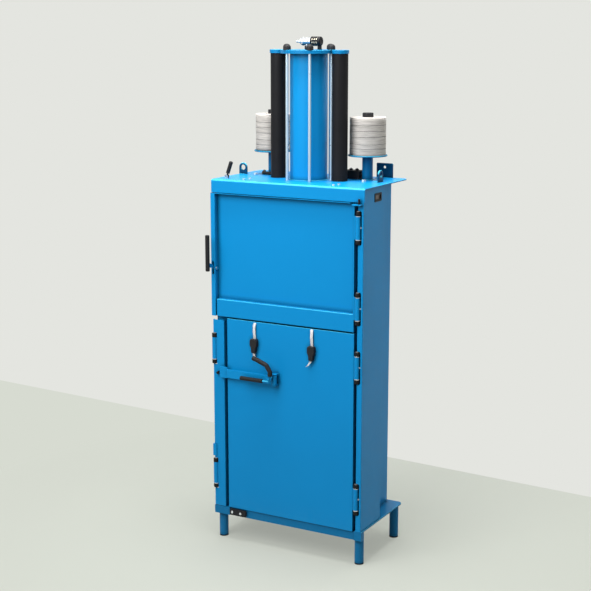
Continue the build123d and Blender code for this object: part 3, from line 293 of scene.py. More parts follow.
def bronze(name, light, dark, roughness):
    look = bronzeLook
    finish = Finish(name, {"Metallic": 1.0})
    stains = finish.cloud(look["stainScale"], detail=5.0)
    finish.use("Base Color", finish.between(stains.above(*look["stainEdge"]), dark, light))
    finish.use("Roughness", roughness + (stains - 0.5) * look["stainRough"])
    finish.relief(finish.cloud(look["grainScale"]), look["grainDepth"], look["grainStrength"])
    return finish.material


chromeLook = {
    "metal": 0.8,
    "dull": tint(205, 208, 211),
    "bright": tint(236, 238, 240),
    "undersideShade": tint(112, 108, 104),
    "undersideShadeEdge": (-0.35, 0.3),  # slope below which the underside gets the painted shade, and the soft part
    "smearScale": 45.0,
    "roughness": 0.12,
    "smearRough": 0.14,
}


def chrome(name):  # polished above, with painted shade in dull grey on the underside
    look = chromeLook
    finish = Finish(name, {"Metallic": look["metal"]})
    smears = finish.cloud(look["smearScale"], detail=3.0)
    bright = finish.between(smears, look["dull"], look["bright"])
    # painted shade on the faces that look down
    under = 1 - finish.slope().above(*look["undersideShadeEdge"])
    finish.use("Base Color", finish.between(under, bright, look["undersideShade"]))
    finish.use("Roughness", look["roughness"] + smears * look["smearRough"])
    return finish.material


coatLook = {
    "shine": 0.22,
    "columnShine": 0.08,
    "wearScale": 11.0,
    "dark": 0.85,
    "light": 1.25,
    "wearRough": 0.14,
    "grainStrength": 0.5,
}


def blackCoat(name, shade, roughness, grain, depth, shine=coatLook["shine"]):
    look = coatLook
    finish = Finish(name, {"Specular IOR Level": shine})
    wear = finish.cloud(look["wearScale"], detail=4.0)
    tones = (scaled(shade, look["dark"]), scaled(shade, look["light"]))
    finish.use("Base Color", finish.between(wear, *tones))
    finish.use("Roughness", roughness + (wear - 0.5) * look["wearRough"])
    finish.relief(finish.cloud(grain, detail=3.0), depth, look["grainStrength"])
    return finish.material


paneLook = {
    "coat": 0.3,
    "coatRoughness": 0.15,
    "dark": tint(58, 44, 34),
    "light": tint(104, 76, 54),
    "hazeScale": 60.0,
    "roughness": 0.3,
    "hazeRough": 0.1,
}


def pane(name):
    look = paneLook
    finish = Finish(name, {"Coat Weight": look["coat"], "Coat Roughness": look["coatRoughness"]})
    haze = finish.cloud(look["hazeScale"], detail=3.0)
    finish.use("Base Color", finish.between(haze, look["dark"], look["light"]))
    finish.use("Roughness", look["roughness"] + haze * look["hazeRough"])
    return finish.material


strapLook = {
    "light": tint(250, 251, 252),
    "shade": tint(206, 209, 212),
    "roughness": 0.62,
    "specular": 0.35,
    "sheen": 0.15,
    "threadPitch": 0.0011,
    "threadWander": 9,
    "threadDepth": 0.00022,
    "threadStrength": 0.6,
    "threadShade": 0.30,
    "crossScale": 55.0,
    "soilScale": 24.0,
    "soilStretch": (1, 1, 4),
    "soilShade": 0.55,
}


def wovenStrap(name):
    look = strapLook
    fixed = {"Roughness": look["roughness"], "Specular IOR Level": look["specular"]}
    finish = Finish(name, {**fixed, "Sheen Weight": look["sheen"]})
    turns = 2 * math.pi / look["threadPitch"]
    run = finish.axis("Z")
    cross = finish.cloud(look["crossScale"], detail=3.0)
    wave = run * turns + cross * look["threadWander"]
    threads = finish.add("ShaderNodeMath", {"operation": "SINE"}, {0: wave})
    soil = finish.cloud(look["soilScale"], detail=5.0, stretch=look["soilStretch"])
    shadeShare = (0.5 - threads * 0.5) * look["threadShade"] + soil * look["soilShade"]
    finish.use("Base Color", finish.between(shadeShare, look["light"], look["shade"]))
    finish.relief(threads * 0.5 + cross, look["threadDepth"], look["threadStrength"])
    return finish.material


rollLook = {
    "light": tint(220, 214, 207),
    "shade": tint(150, 145, 140),
    # painted shade: dark tone for the seams between the coils
    "seam": tint(58, 57, 56),
    "seamDark": 0.4,
    "roughness": 0.66,
    "specular": 0.3,
    "sheen": 0.1,
    "fineScale": 240.0,
    "fineStretch": (0.10, 0.10, 2.4),
    "fineEdge": (0.52, 0.16),
    "fineShare": 0.5,
    "turnScale": 150.0,
    "turnStretch": (0.07, 0.07, 2.2),
    "turnEdge": (0.58, 0.05),
    "turnShare": 0.25,
    "patchScale": 16.0,
    "patchStretch": (1, 1, 3.5),
    "patchEdge": (0.5, 0.2),
    "patchShare": 0.25,
    # painted shade in the gaps between the coils and by the hub
    "gapReach": 0.045,
    "gapTone": 0.12,
    "fineDepth": 0.0007,
    "fineStrength": 0.6,
}


def rollStrap(name, light, shade):  # strap wound in coils, seen on its edges and outer turn
    look = rollLook
    fixed = {"Roughness": look["roughness"], "Specular IOR Level": look["specular"]}
    finish = Finish(name, {**fixed, "Sheen Weight": look["sheen"]})
    fine = finish.cloud(look["fineScale"], detail=4.0, stretch=look["fineStretch"])
    turns = finish.cloud(look["turnScale"], stretch=look["turnStretch"])
    patch = finish.cloud(look["patchScale"], detail=4.0, stretch=look["patchStretch"])
    share = fine.above(*look["fineEdge"]) * look["fineShare"]
    share = share + turns.above(*look["turnEdge"]) * look["turnShare"]
    share = share + patch.above(*look["patchEdge"]) * look["patchShare"]
    cloth = finish.between(share, light, shade)
    # painted shade in gaps, from ambient occlusion
    gapShadeShare = 1 - finish.creviceShade(look["gapReach"], look["gapTone"])
    finish.use("Base Color", finish.between(gapShadeShare, cloth, look["seam"]))
    finish.relief(fine, look["fineDepth"], look["fineStrength"])
    return finish.material


blueCoat = powderPaint("powder_blue", paintLook["blue"])
navyCoat = powderPaint("powder_navy", paintLook["navy"])
# painted shade: darker copies of the blue paint for parts that sit in shade
eyeShadedCoat = powderPaint("powder_eyes_shaded", paintLook["eyes"])
standShadedCoat = powderPaint("powder_stands_shaded", paintLook["stands"])
headShadedCoat = powderPaint("powder_head_shaded", paintLook["head"])
lowShadedCoat = powderPaint("powder_low_shaded", paintLook["low"])
steelUpright = brightSteel("steel_upright")
# light and dark tone, roughness, and for plated steel how metallic it is
rodSteel = zinc("rod_steel", tint(206, 228, 242), tint(190, 214, 230), 0.30, 0.6)
boltSteel = zinc("bolt_steel", tint(246, 249, 251), tint(214, 220, 226), 0.26, 0.7)
dullBronze = bronze("dull_bronze", tint(168, 158, 140), tint(112, 100, 84), 0.42)
bushBronze = bronze("bush_bronze", tint(186, 148, 96), tint(130, 98, 60), 0.35)
polished = chrome("polished_fitting")
# tone, roughness, and the scale and depth of the grain
blackTube = blackCoat("black_tube", tint(18, 18, 21), 0.45, 300.0, 0.00008)
columnShine = coatLook["columnShine"]
columnCoat = blackCoat("column_black", tint(32, 32, 34), 0.45, 300.0, 0.00008, columnShine)
blackMoulding = blackCoat("black_moulding", tint(36, 36, 38), 0.55, 520.0, 0.00018)
gripSleeve = blackCoat("grip_sleeve", tint(33, 33, 34), 0.60, 800.0, 0.00022)
footRubber = blackCoat("foot_rubber", tint(30, 30, 32), 0.75, 600.0, 0.0003)
coreSheet = blackCoat("core_sheet", tint(214, 206, 184), 0.7, 400.0, 0.0002)
brownPane = pane("brown_pane")
strapCloth = wovenStrap("strap_cloth")
rollCloth = rollStrap("roll_cloth", rollLook["light"], rollLook["shade"])
# painted shade: the seams between the coils get the dark tone
seamShade = scaled(rollLook["seam"], rollLook["seamDark"])
rollSeamPaintedShade = rollStrap("roll_seam_painted_shade", rollLook["seam"], seamShade)

slotFinish = {
    "blue_paint": blueCoat,
    "dark_paint": navyCoat,
    "black_steel": blackTube,
    "bright_steel": steelUpright,
    "bronze": dullBronze,
    "bush_bronze": bushBronze,
    "black_plastic": blackMoulding,
    "black_grip": gripSleeve,
    "rubber": footRubber,
    "chrome": polished,
    "pane": brownPane,
    "strap_white": strapCloth,
}
for part in frame["record"]["subparts"]:
    mesh = frame["nodes"][part["node"]].data
    mesh.materials.clear()
    mesh.materials.append(slotFinish[part["material_slot"]])
ownFinish = {
    "bright_bolts": boltSteel,
    "tie_rods": rodSteel,
    "lifting_eyes": eyeShadedCoat,
    "hinge_washers": boltSteel,
    "reel_stands": standShadedCoat,
    "column_covers": columnCoat,
    "base_plate": lowShadedCoat,
    "front_sill": lowShadedCoat,
    "legs": lowShadedCoat,
    "head_plate": headShadedCoat,
}
for name, finish in ownFinish.items():
    frame["nodes"][name].data.materials[0] = finish
print("finishes on the solids")


# mesh helpers


def asPiece(name, mesh, finishes, body, sharpAngle=35.0):
    bpyMesh = bpy.data.meshes.new(name)
    bmesh.ops.recalc_face_normals(mesh, faces=mesh.faces)
    mesh.to_mesh(bpyMesh)
    mesh.free()
    for finish in finishes:
        bpyMesh.materials.append(finish)
    bpyMesh.polygons.foreach_set("use_smooth", [True] * len(bpyMesh.polygons))
    bpyMesh.set_sharp_from_angle(angle=math.radians(sharpAngle))
    piece = bpy.data.objects.new(name, bpyMesh)
    scene.collection.objects.link(piece)
    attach(piece, body)
    return piece


def turned(mesh, profile, sides, place, finishes=None, wobble=None):
    # profile of (radius, height) turned round the local Z of place; wobble adds (radius, height)
    rows = []
    for step, (radius, height) in enumerate(profile):
        if radius < 1e-7:  # a point on the axis
            rows.append([mesh.verts.new(place @ Vector((0, 0, height)))])
            continue
        row = []
        for side in range(sides):
            angle = 2 * math.pi * side / sides
            outward, lift = wobble(step, angle) if wobble else (0.0, 0.0)
            spot = Vector((math.cos(angle), math.sin(angle), 0)) * (radius + outward)
            row.append(mesh.verts.new(place @ (spot + Vector((0, 0, height + lift)))))
        rows.append(row)
    for step, (low, high) in enumerate(zip(rows, rows[1:])):
        for side in range(sides):
            after = (side + 1) % sides
            if len(low) == 1:
                face = (low[0], high[side], high[after])
            elif len(high) == 1:
                face = (low[side], low[after], high[0])
            else:
                face = (low[side], low[after], high[after], high[side])
            mesh.faces.new(face).material_index = finishes[step] if finishes else 0


def upright(x, y, z):
    return Matrix.Translation((x, y, z))


def facing(x, y, z, direction):  # local Z along a direction
    turn = Vector((0, 0, 1)).rotation_difference(Vector(direction)).to_matrix().to_4x4()
    return Matrix.Translation((x, y, z)) @ turn


def strip(mesh, path, across, thick):
    # flat band along a path of (centre, half width, face direction)
    rings = []
    for centre, half, face in path:
        side = Vector(across) * half
        out = Vector(face).normalized() * thick / 2
        left, right = centre - side, centre + side
        corners = (left - out, right - out, right + out, left + out)
        rings.append([mesh.verts.new(corner) for corner in corners])
    for first, second in zip(rings, rings[1:]):
        for edge in range(4):
            after = (edge + 1) % 4
            mesh.faces.new((first[edge], first[after], second[after], second[edge]))
    mesh.faces.new(rings[0])
    mesh.faces.new(rings[-1])


# strap rolls: flat coils of strap stacked on the hub

rollSize = {
    "coils": (0.17, 0.135, 0.18, 0.15, 0.16, 0.205),  # share of the height, from the bottom
    "sides": 144,
    "seamDepth": 0.0013,
    "seamHalf": 0.0008,
    "bulge": 0.0002,
    "corner": 0.0012,
    "proud": (0.2, 1.0),  # share of the unevenness that a coil stands in
    "uneven": 0.0010,
    "unevenShare": 0.6,
    "unevenWaves": (1.6, 3.7),  # waves round the roll, and the step from one coil to the next
    "lean": 0.0026,
    "leanTilt": 0.55,
    "leanWave": 0.6,
    "leanWaves": (2.4, 5.1),
    "topRings": 12,
    "topEdge": 0.005,
    "topWaves": (9, 1.7),
    "topRipple": 0.0012,
    "ringWide": 0.0018,
    "ringDepth": 0.0012,
    "ringFall": (0.3, 1.0),  # share of that depth
    "ringLip": 0.15,
    "slack": 0.0006,
    "nearTop": 0.002,
    "nearBottom": 0.0005,
}


def waveRound(angle, waves, layer):
    return noise.noise(Vector((math.cos(angle) * waves, math.sin(angle) * waves, layer)))


def strapRoll(side):
    size = rollSize
    low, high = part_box("strap_roll_" + side)
    hubLow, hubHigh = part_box("reel_hub_" + side)
    middle = (low + high) / 2
    radius = (high.x - low.x) / 2
    hubRadius = (hubHigh.x - hubLow.x) / 2 + size["slack"]
    rise = high.z - low.z
    half, deep, corner = size["seamHalf"], size["seamDepth"], size["corner"]
    profile, coilOf, finishes = [(hubRadius, 0.0)], [0], []
    level = 0.0
    for coil, share in enumerate(size["coils"]):
        start, end = level, level + rise * share
        level = end
        proud = -random.uniform(*size["proud"]) * size["uneven"]
        crown = (size["bulge"], (start + end) / 2)
        shape = ((-deep, start), (0, start + half), crown, (0, end - half), (-deep, end))
        if coil == len(size["coils"]) - 1:
            shape = shape[:3] + ((0, end - corner), (-corner, end))
        for out, height in shape:
            profile.append((radius + proud + out, height))
            coilOf.append(coil + 1)
        finishes += [0, 1, 0, 0, 1]  # 1 is the seam, in painted shade
    finishes[0], finishes[-1] = 0, 0
    top = rise
    outer = radius - size["topEdge"]
    for ring in range(size["topRings"]):
        inner = outer - (outer - hubRadius) * ring / size["topRings"]
        fall = size["ringDepth"] * random.uniform(*size["ringFall"])
        profile += [(inner, top - fall), (inner - size["ringWide"], top - fall * size["ringLip"])]
        coilOf += [0, 0]
        finishes += [0, 0]
    profile.append((hubRadius, top))
    coilOf.append(0)
    finishes.append(0)
    leans = [random.uniform(0, 2 * math.pi) for coil in range(len(size["coils"]) + 2)]

    def wobble(step, angle):
        coil = coilOf[step]
        if not coil:
            return 0.0, 0.0
        height = profile[step][1]
        coilStart = sum(size["coils"][: coil - 1]) * rise
        seam = coil + (height > coilStart + size["coils"][coil - 1] * rise / 2)
        waves, layer = size["unevenWaves"]
        outward = (waveRound(angle, waves, coil * layer) - 1) * size["uneven"] * size["unevenShare"]
        if height < size["nearBottom"]:
            return outward, 0.0
        if height > top - size["nearTop"]:
            return outward, -size["topRipple"] * abs(waveRound(angle, *size["topWaves"]))
        waves, layer = size["leanWaves"]
        wave = waveRound(angle, waves, seam * layer)
        tilt = size["leanTilt"] * math.cos(angle - leans[seam])
        return outward, size["lean"] * (tilt + size["leanWave"] * wave)

    mesh = bmesh.new()
    place = upright(middle.x, middle.y, low.z)
    turned(mesh, profile, size["sides"], place, finishes, wobble)
    name, body = "strapRoll" + side.title(), "reel_" + side
    piece = asPiece(name, mesh, [rollCloth, rollSeamPaintedShade], body, sharpAngle=50)
    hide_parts("strap_roll_" + side)


for side in ("left", "right"):
    strapRoll(side)
print("strap rolls")


# straps on the bale door, with their tails below the holders

doorStrap = {
    "thick": 0.0011,
    "half": 0.0064,
    "steps": 22,
    "topGap": 0.001,
    "topTuck": 0.004,
    "tuckPower": 8,
    "holderTuck": 0.004,
    "offDoor": 0.0022,
    "bow": 0.004,
    "taper": 0.06,
    "twist": (0.12, 5),
    "ripple": 0.0009,
    "rippleWaves": (9, 4, 0.3),  # across, down the strap, and the layer of the noise
    "rippleAside": 2,
    "tailSteps": 12,
    "tailTuck": 0.006,
    "tailOff": 0.0075,
    "tailTaper": 0.12,
    "tailDrop": (0.026, 0.034),
    "tailRun": (0.006, -0.020),
    "tailOut": (0.004, 0.007),
    "tailCurl": 2.2,
    "tailTurn": (0.5, 0.6),
    "tailLean": 0.35,
    "holderInset": 0.0175,  # from the holders' outer ends to their middles
}


def strapCentres():
    low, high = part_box("strap_holders")
    return low.x + doorStrap["holderInset"], high.x - doorStrap["holderInset"]


def strapsOnDoor():
    size = doorStrap
    holderLow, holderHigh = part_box("strap_holders")
    doorLow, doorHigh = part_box("bale_door_skin")
    face = doorLow.y
    fall = holderHigh.z - size["holderTuck"] - doorHigh.z
    mesh = bmesh.new()
    for index, x in enumerate(strapCentres()):
        path = []
        for step in range(size["steps"] + 1):
            share = step / size["steps"]
            z = doorHigh.z - size["topGap"] + fall * share
            bow = math.sin(math.pi * share) * size["bow"]
            edge = (1 - share) ** size["tuckPower"] * size["topTuck"]
            across, down, layer = size["rippleWaves"]
            wave = size["ripple"] * noise.noise(Vector((x * across, share * down, layer)))
            y = face - size["offDoor"] - bow + edge + wave
            place = Vector((x + wave * size["rippleAside"], y, z))
            twist = size["twist"][0] * math.sin(share * size["twist"][1] + index)
            path.append((place, size["half"] * (1 - size["taper"] * share), (twist, 1, 0)))
        strip(mesh, path, (1, 0, 0), size["thick"])
        path = []
        for step in range(size["tailSteps"] + 1):
            share = step / size["tailSteps"]
            z = holderLow.z + size["tailTuck"] - size["tailDrop"][index] * share
            run = size["tailRun"][index] * share * share
            out = size["tailOut"][index] * math.sin(share * size["tailCurl"])
            place = Vector((x + run, face - size["tailOff"] - out, z))
            aside, down = size["tailTurn"]
            half = size["half"] * (1 - size["tailTaper"] * share)
            path.append((place, half, (aside * share, 1, down * share)))
        lean = Vector((1, 0, size["tailLean"] * (index * 2 - 1))).normalized()
        strip(mesh, path, lean, size["thick"])
    piece = asPiece("doorStraps", mesh, [strapCloth], "bale_door", sharpAngle=60)
    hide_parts("straps")


strapsOnDoor()

holderTrim = {
    "ribs": 4,
    "first": 0.030,
    "pitch": 0.0068,
    "half": 0.0132,
    "narrowing": 0.0008,
    "proud": 0.0008,
    "skin": 0.0004,
    "squareness": 0.5,
    "sides": 40,
    "section": ((0, 0), (1, 0), (1.02, 0.0011), (1.02, 0.0024), (1, 0.0035), (0, 0.0035)),
}


def holderBands():  # ribs moulded round each strap holder
    size = holderTrim
    low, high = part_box("strap_holders")
    depthMiddle = (low.y + high.y) / 2 - size["skin"]
    deep = (high.y - low.y) / 2 - size["skin"]

    def squared(turn, reach):  # circle drawn out towards a rounded square
        return math.copysign(abs(turn) ** size["squareness"], turn) * reach

    mesh = bmesh.new()
    for x in strapCentres():
        for rib in range(size["ribs"]):
            z = high.z - size["first"] - rib * size["pitch"]
            half = size["half"] - rib * size["narrowing"] + size["proud"]
            start = len(mesh.verts)
            turned(mesh, size["section"], size["sides"], upright(0, 0, 0))
            mesh.verts.ensure_lookup_table()
            for vert in mesh.verts[start:]:
                angle = math.atan2(vert.co.y, vert.co.x)
                reach = vert.co.xy.length
                across = squared(math.cos(angle), reach) * half
                out = squared(math.sin(angle), reach) * deep
                vert.co = Vector((x + across, depthMiddle + out, z + vert.co.z))
    piece = asPiece("holderBands", mesh, [blackMoulding], "bale_door", sharpAngle=40)


holderBands()
print("straps and holders")


# exhaust drum: perforated sleeve round a bright core

drumSize = {
    "start": 0.057,  # from the end of the solid
    "long": 0.046,
    "holesRound": 8,
    "holesAlong": 3,
    "sidesPerHole": 8,
    "across": 0.55,  # share of each hole in its pitch, round the drum
    "along": 0.62,
    "firstBand": 0.0045,
    "lastBand": 0.0105,
    "wall": 0.0012,
    "rim": 0.005,
    "rimSteps": 6,
    "dish": (0.45, 0.42, 0.0006),  # two shares of the radius, and the radius at the middle
    "core": 0.0016,
    "coreStart": 0.001,
    "coreSides": 64,
    "feet": ((-0.006, 0.0125), (0.051, 0.0105)),  # place along the drum, radius
    "footFlange": 0.003,
    "footStep": 0.0015,
    "footReach": 0.8,
    "footSides": 40,
}


def exhaustAxis():  # middle depth and height of the drum, and its radius
    low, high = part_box("silencer")
    tubeLow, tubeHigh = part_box("cylinder_tube")
    radius = (high.y - low.y) / 2
    return (tubeLow.y + tubeHigh.y) / 2, high.z - radius, radius


def drumSleeve():
    size = drumSize
    low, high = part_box("silencer")
    middleY, centre, radius = exhaustAxis()
    place = facing(high.x - size["start"], middleY, centre, (1, 0, 0))
    length, rim = size["long"], size["rim"]
    core = bmesh.new()
    reach, first, last = radius - size["core"], size["coreStart"], length - rim
    coreShape = [(0, first), (reach, first), (reach, last), (0, last)]
    turned(core, coreShape, size["coreSides"], place)
    piece = asPiece("drumCore", core, [coreSheet], "cabinet")
    mesh = bmesh.new()
    sides = size["holesRound"] * size["sidesPerHole"]
    cut = round(size["across"] * size["sidesPerHole"])
    stations = [0.0, size["firstBand"]]
    pitch = (length - size["firstBand"] - size["lastBand"]) / size["holesAlong"]
    for hole in range(size["holesAlong"]):
        begin = size["firstBand"] + pitch * hole + pitch * (1 - size["along"]) / 2
        stations += [begin, begin + pitch * size["along"]]
    stations += [length - size["lastBand"], length - rim]
    outline = [(radius, station) for station in stations]
    for step in range(1, size["rimSteps"] + 1):  # rounded far end
        turn = math.pi / 2 * step / size["rimSteps"]
        outline.append((radius - rim + rim * math.cos(turn), length - rim + rim * math.sin(turn)))
    lip, floor, middle = size["dish"]
    sunk = length - size["wall"]
    outline += [(radius * lip, length), (radius * floor, sunk), (middle, sunk)]
    grid = []
    for reach, station in outline:
        row = []
        for side in range(sides):
            angle = 2 * math.pi * (side + 0.5) / sides
            spot = Vector((math.cos(angle) * reach, math.sin(angle) * reach, station))
            row.append(mesh.verts.new(place @ spot))
        grid.append(row)
    for index, (near, far) in enumerate(zip(grid, grid[1:])):
        holed = index in range(2, 2 + 2 * size["holesAlong"], 2)  # every other ring after the band
        for side in range(sides):
            if holed and side % size["sidesPerHole"] < cut:
                continue
            after = (side + 1) % sides
            mesh.faces.new((near[side], near[after], far[after], far[side]))
    bmesh.ops.recalc_face_normals(mesh, faces=mesh.faces)
    bmesh.ops.solidify(mesh, geom=mesh.faces[:], thickness=size["wall"])
    rise = centre - radius * size["footReach"] - low.z
    flange, step = size["footFlange"], size["footStep"]
    for x, reach in size["feet"]:
        neck = reach - step
        foot = [(0, 0), (reach, 0), (reach, flange), (neck, flange + step), (neck, rise), (0, rise)]
        turned(mesh, foot, size["footSides"], upright(x, middleY, low.z))
    piece = asPiece("drumSleeve", mesh, [blackTube], "cabinet", sharpAngle=30)
    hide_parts("silencer")


drumSleeve()

fittingSize = {
    "hexStart": 0.027,
    "hexAcross": 0.0185,
    "hexLong": 0.008,
    "bore": 0.006,
    "chamfer": 0.0012,
    "collars": ((-0.006, 0.0080), (-0.012, 0.0074), (0.034, 0.0180)),  # from the hexagon, radius
    "collarDepth": 0.003,
    "collarLong": 0.0028,
    "collarRound": 0.0006,
    "collarSides": 48,
}


def fittingHex():  # hexagon for the spanner, with three turned collars
    size = fittingSize
    middleY, centre = exhaustAxis()[:2]
    place = facing(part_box("fitting_body")[0].x + size["hexStart"], middleY, centre, (1, 0, 0))
    mesh = bmesh.new()
    across, length = size["hexAcross"], size["hexLong"]
    chamfer, bore = size["chamfer"], size["bore"]
    flat = across - chamfer
    shape = [(bore, 0), (flat, 0), (across, chamfer), (across, length - chamfer)]
    turned(mesh, shape + [(flat, length), (bore, length)], 6, place)
    deep, long, fine = size["collarDepth"], size["collarLong"], size["collarRound"]
    for start, outer in size["collars"]:
        ring = [(outer - deep, 0), (outer - fine, 0), (outer, fine), (outer, long - fine)]
        ring += [(outer - fine, long), (outer - deep, long)]
        turned(mesh, ring, size["collarSides"], place @ upright(0, 0, start))
    piece = asPiece("fittingHex", mesh, [polished], "cabinet", sharpAngle=25)


fittingHex()
print("exhaust fitting")


# rounded ends on the hinge lugs

lugTrim = {
    "round": 0.0032,
    "steps": 4,
    "holeReach": 0.010,
    "axisDepth": 0.012,  # of the pin behind the lug's front
    "merge": 0.00002,
    "level": 0.0001,
    "sharp": 0.6,
}


def lugIslands(mesh):  # the separate bodies of a mesh, as sets of vertices
    unseen, islands = set(mesh.verts), []
    while unseen:
        island, edge = set(), [unseen.pop()]
        while edge:
            vert = edge.pop()
            island.add(vert)
            for link in vert.link_edges:
                other = link.other_vert(vert)
                if other in unseen:
                    unseen.discard(other)
                    edge.append(other)
        islands.append(island)
    return islands


def lugEnds():
    size = lugTrim
    mesh = bmesh.new()
    mesh.from_mesh(frame["nodes"]["hinge_lugs"].data)
    bmesh.ops.remove_doubles(mesh, verts=mesh.verts, dist=size["merge"])
    rows = {}
    for island in lugIslands(mesh):
        middle = sum((vert.co for vert in island), Vector()) / len(island)
        rows.setdefault(middle.x > 0, []).append((middle.z, island))
    rims = []
    for row in rows.values():
        row.sort(key=lambda entry: entry[0])
        for index, (height, island) in enumerate(row):
            levels = [vert.co.z for vert in island]
            outer = min(levels) if index % 2 == 0 else max(levels)
            places = [vert.co.x for vert in island]
            axisX = (min(places) + max(places)) / 2
            axisY = min(vert.co.y for vert in island) + size["axisDepth"]
            for edge in {link for vert in island for link in vert.link_edges}:
                ends = [vert.co for vert in edge.verts]
                flat = all(abs(end.z - outer) < size["level"] for end in ends)
                reach = min(math.hypot(end.x - axisX, end.y - axisY) for end in ends)
                away = reach > size["holeReach"]
                if flat and away and edge.is_manifold and edge.calc_face_angle() > size["sharp"]:
                    rims.append(edge)
    settings = {"offset": size["round"], "segments": size["steps"], "profile": 0.5}
    bmesh.ops.bevel(mesh, geom=rims, affect="EDGES", clamp_overlap=True, **settings)
    piece = asPiece("lugEnds", mesh, [blackTube], "cabinet", sharpAngle=40)
    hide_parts("hinge_lugs")


lugEnds()
print("hinge lugs")


# push-in fittings and solenoid caps on the valve block behind the right column

valveTrim = {
    "block": (0.122, 0.198),  # left and right end of the block
    "depthMiddle": 0.142,
    "blockHigh": 0.036,
    "portHigh": 0.020,
    "port": 0.0075,
    "portLong": 0.016,
    "portShape": ((0, 0), (1, 0), (1, 0.4), (0.86, 0.45), (0.86, 0.62), (0.62, 0.66)),
    "portEnd": 0.0005,
    "ribs": 4,
    "caps": (0.34, 0.72),  # places along the block
    "cap": 0.0085,
    "capHigh": 0.006,
    "groove": 0.001,
    "rib": (0.0006, 0.0008, 0.0002),  # from its foot up to its face, and from its end down to both
    "crown": 0.003,
    "tuck": 0.001,
    "sides": 32,
    "screwUp": 0.0009,
    "screw": ((0, 0), (0.0032, 0), (0.0032, 0.0026), (0.0026, 0.0032), (0, 0.0032)),
}


def valveFittings():
    size = valveTrim
    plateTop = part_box("cylinder_tube")[0].z
    left, right = size["block"]
    depth, blockTop = size["depthMiddle"], plateTop + size["blockHigh"]
    black, bright = bmesh.new(), bmesh.new()
    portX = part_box("air_valves")[1].x - size["tuck"]
    place = facing(portX, depth, plateTop + size["portHigh"], (1, 0, 0))
    port, length = size["port"], size["portLong"]
    collar = [(port * radius, length * share) for radius, share in size["portShape"]]
    lip = collar[-1][1] + size["portEnd"]
    turned(bright, collar + [(collar[-1][0], lip), (0, lip)], size["sides"], place)
    cap, high, groove = size["cap"], size["capHigh"], size["groove"]
    step = high / size["ribs"]
    foot, face, end = size["rib"]
    for share in size["caps"]:
        x = left + (right - left) * share
        profile = [(0, -groove)]
        for rib in range(size["ribs"]):
            base = high * rib / size["ribs"]
            profile += [(cap - groove, base), (cap, base + foot), (cap, base + step - face)]
            profile.append((cap - groove, base + step - end))
        profile += [(cap - size["crown"], high + groove), (0, high + groove)]
        turned(black, profile, size["sides"], upright(x, depth, blockTop))
        turned(bright, size["screw"], 6, upright(x, depth, blockTop + high + size["screwUp"]))
    piece = asPiece("valveCaps", black, [blackMoulding], "cabinet")
    piece = asPiece("valvePorts", bright, [boltSteel], "cabinet", sharpAngle=30)


valveFittings()
print("valve fittings")


# grease nipples and turned rings on the right barrels

nippleSize = {
    "pinInset": 0.008,
    "stand": 0.0108,  # of the nipple's seat from the pin's axis
    "up": 0.049,
    "hexRadius": 0.0040,
    "hexLong": 0.0030,
    "head": (  # radius and height above the hexagon
        (0.0019, -0.0002),
        (0.0019, 0.0008),
        (0.00224, 0.0014),
        (0.0028, 0.0022),
        (0.00252, 0.0031),
        (0.00133, 0.0048),
        (0, 0.0048),
    ),
    "headSides": 20,
    "barrelGap": 0.15,
    "ringUp": 0.0955,
    "ring": 0.0118,
    "ringHigh": 0.0022,
    "ringDepth": 0.002,
    "ringRound": 0.0005,
    "ringSides": 48,
}


def nipples(name, node, body):
    size = nippleSize
    pinLow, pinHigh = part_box("hinge_pins")
    pinX = pinHigh.x - size["pinInset"]
    pinY = (pinLow.y + pinHigh.y) / 2
    heights = sorted({round(v.co.z, 4) for v in frame["nodes"][node].data.vertices})
    pairs = zip(heights, heights[1:])
    starts = [heights[0]] + [after for before, after in pairs if after - before > size["barrelGap"]]
    hexRadius, length = size["hexRadius"], size["hexLong"]
    hexShape = [(0, 0), (hexRadius, 0), (hexRadius, length), (0, length)]
    head = [(radius, length + height) for radius, height in size["head"]]
    ring, high, fine = size["ring"], size["ringHigh"], size["ringRound"]
    inner = ring - size["ringDepth"]
    ringShape = [(inner, 0), (ring, 0), (ring, high - fine), (ring - fine, high), (inner, high)]
    mesh = bmesh.new()
    for start in starts:
        place = facing(pinX + size["stand"], pinY, start + size["up"], (1, 0, 0))
        turned(mesh, hexShape, 6, place)
        turned(mesh, head, size["headSides"], place)
    for start in starts:  # turned ring at the barrel's upper end
        place = upright(pinX, pinY, start + size["ringUp"])
        turned(mesh, ringShape, size["ringSides"], place)
    piece = asPiece(name, mesh, [boltSteel], body, sharpAngle=30)


nipples("fillingNipples", "filling_door_barrels", "filling_door")
nipples("baleNipples", "bale_door_barrels", "bale_door")
print("grease nipples")


# weld beads on the top plate and the legs

beadSize = {
    "radius": 0.0024,
    "sides": 8,
    "pitch": 0.0032,
    "ripple": 0.16,
    "beat": 2.1,  # turn of the ripple from ring to ring
    "grain": (0.4, 900),  # share of the ripple, and its scale
    "stand": 0.023,  # radius of a reel's post
    "plateFit": (0.0006, 0.0002),  # off a post's side, and above the plate
    "leg": 0.020,
    "legFit": (0.0004, -0.0004),
    "eyes": (0.061, 0.071),  # depth of the left and the right lifting eye
    "eyeInset": 0.0205,
    "eyeHalf": 0.017,
    "eyeSide": 0.0045,
    "eyeRings": 14,
    "eyeShare": 0.8,
}


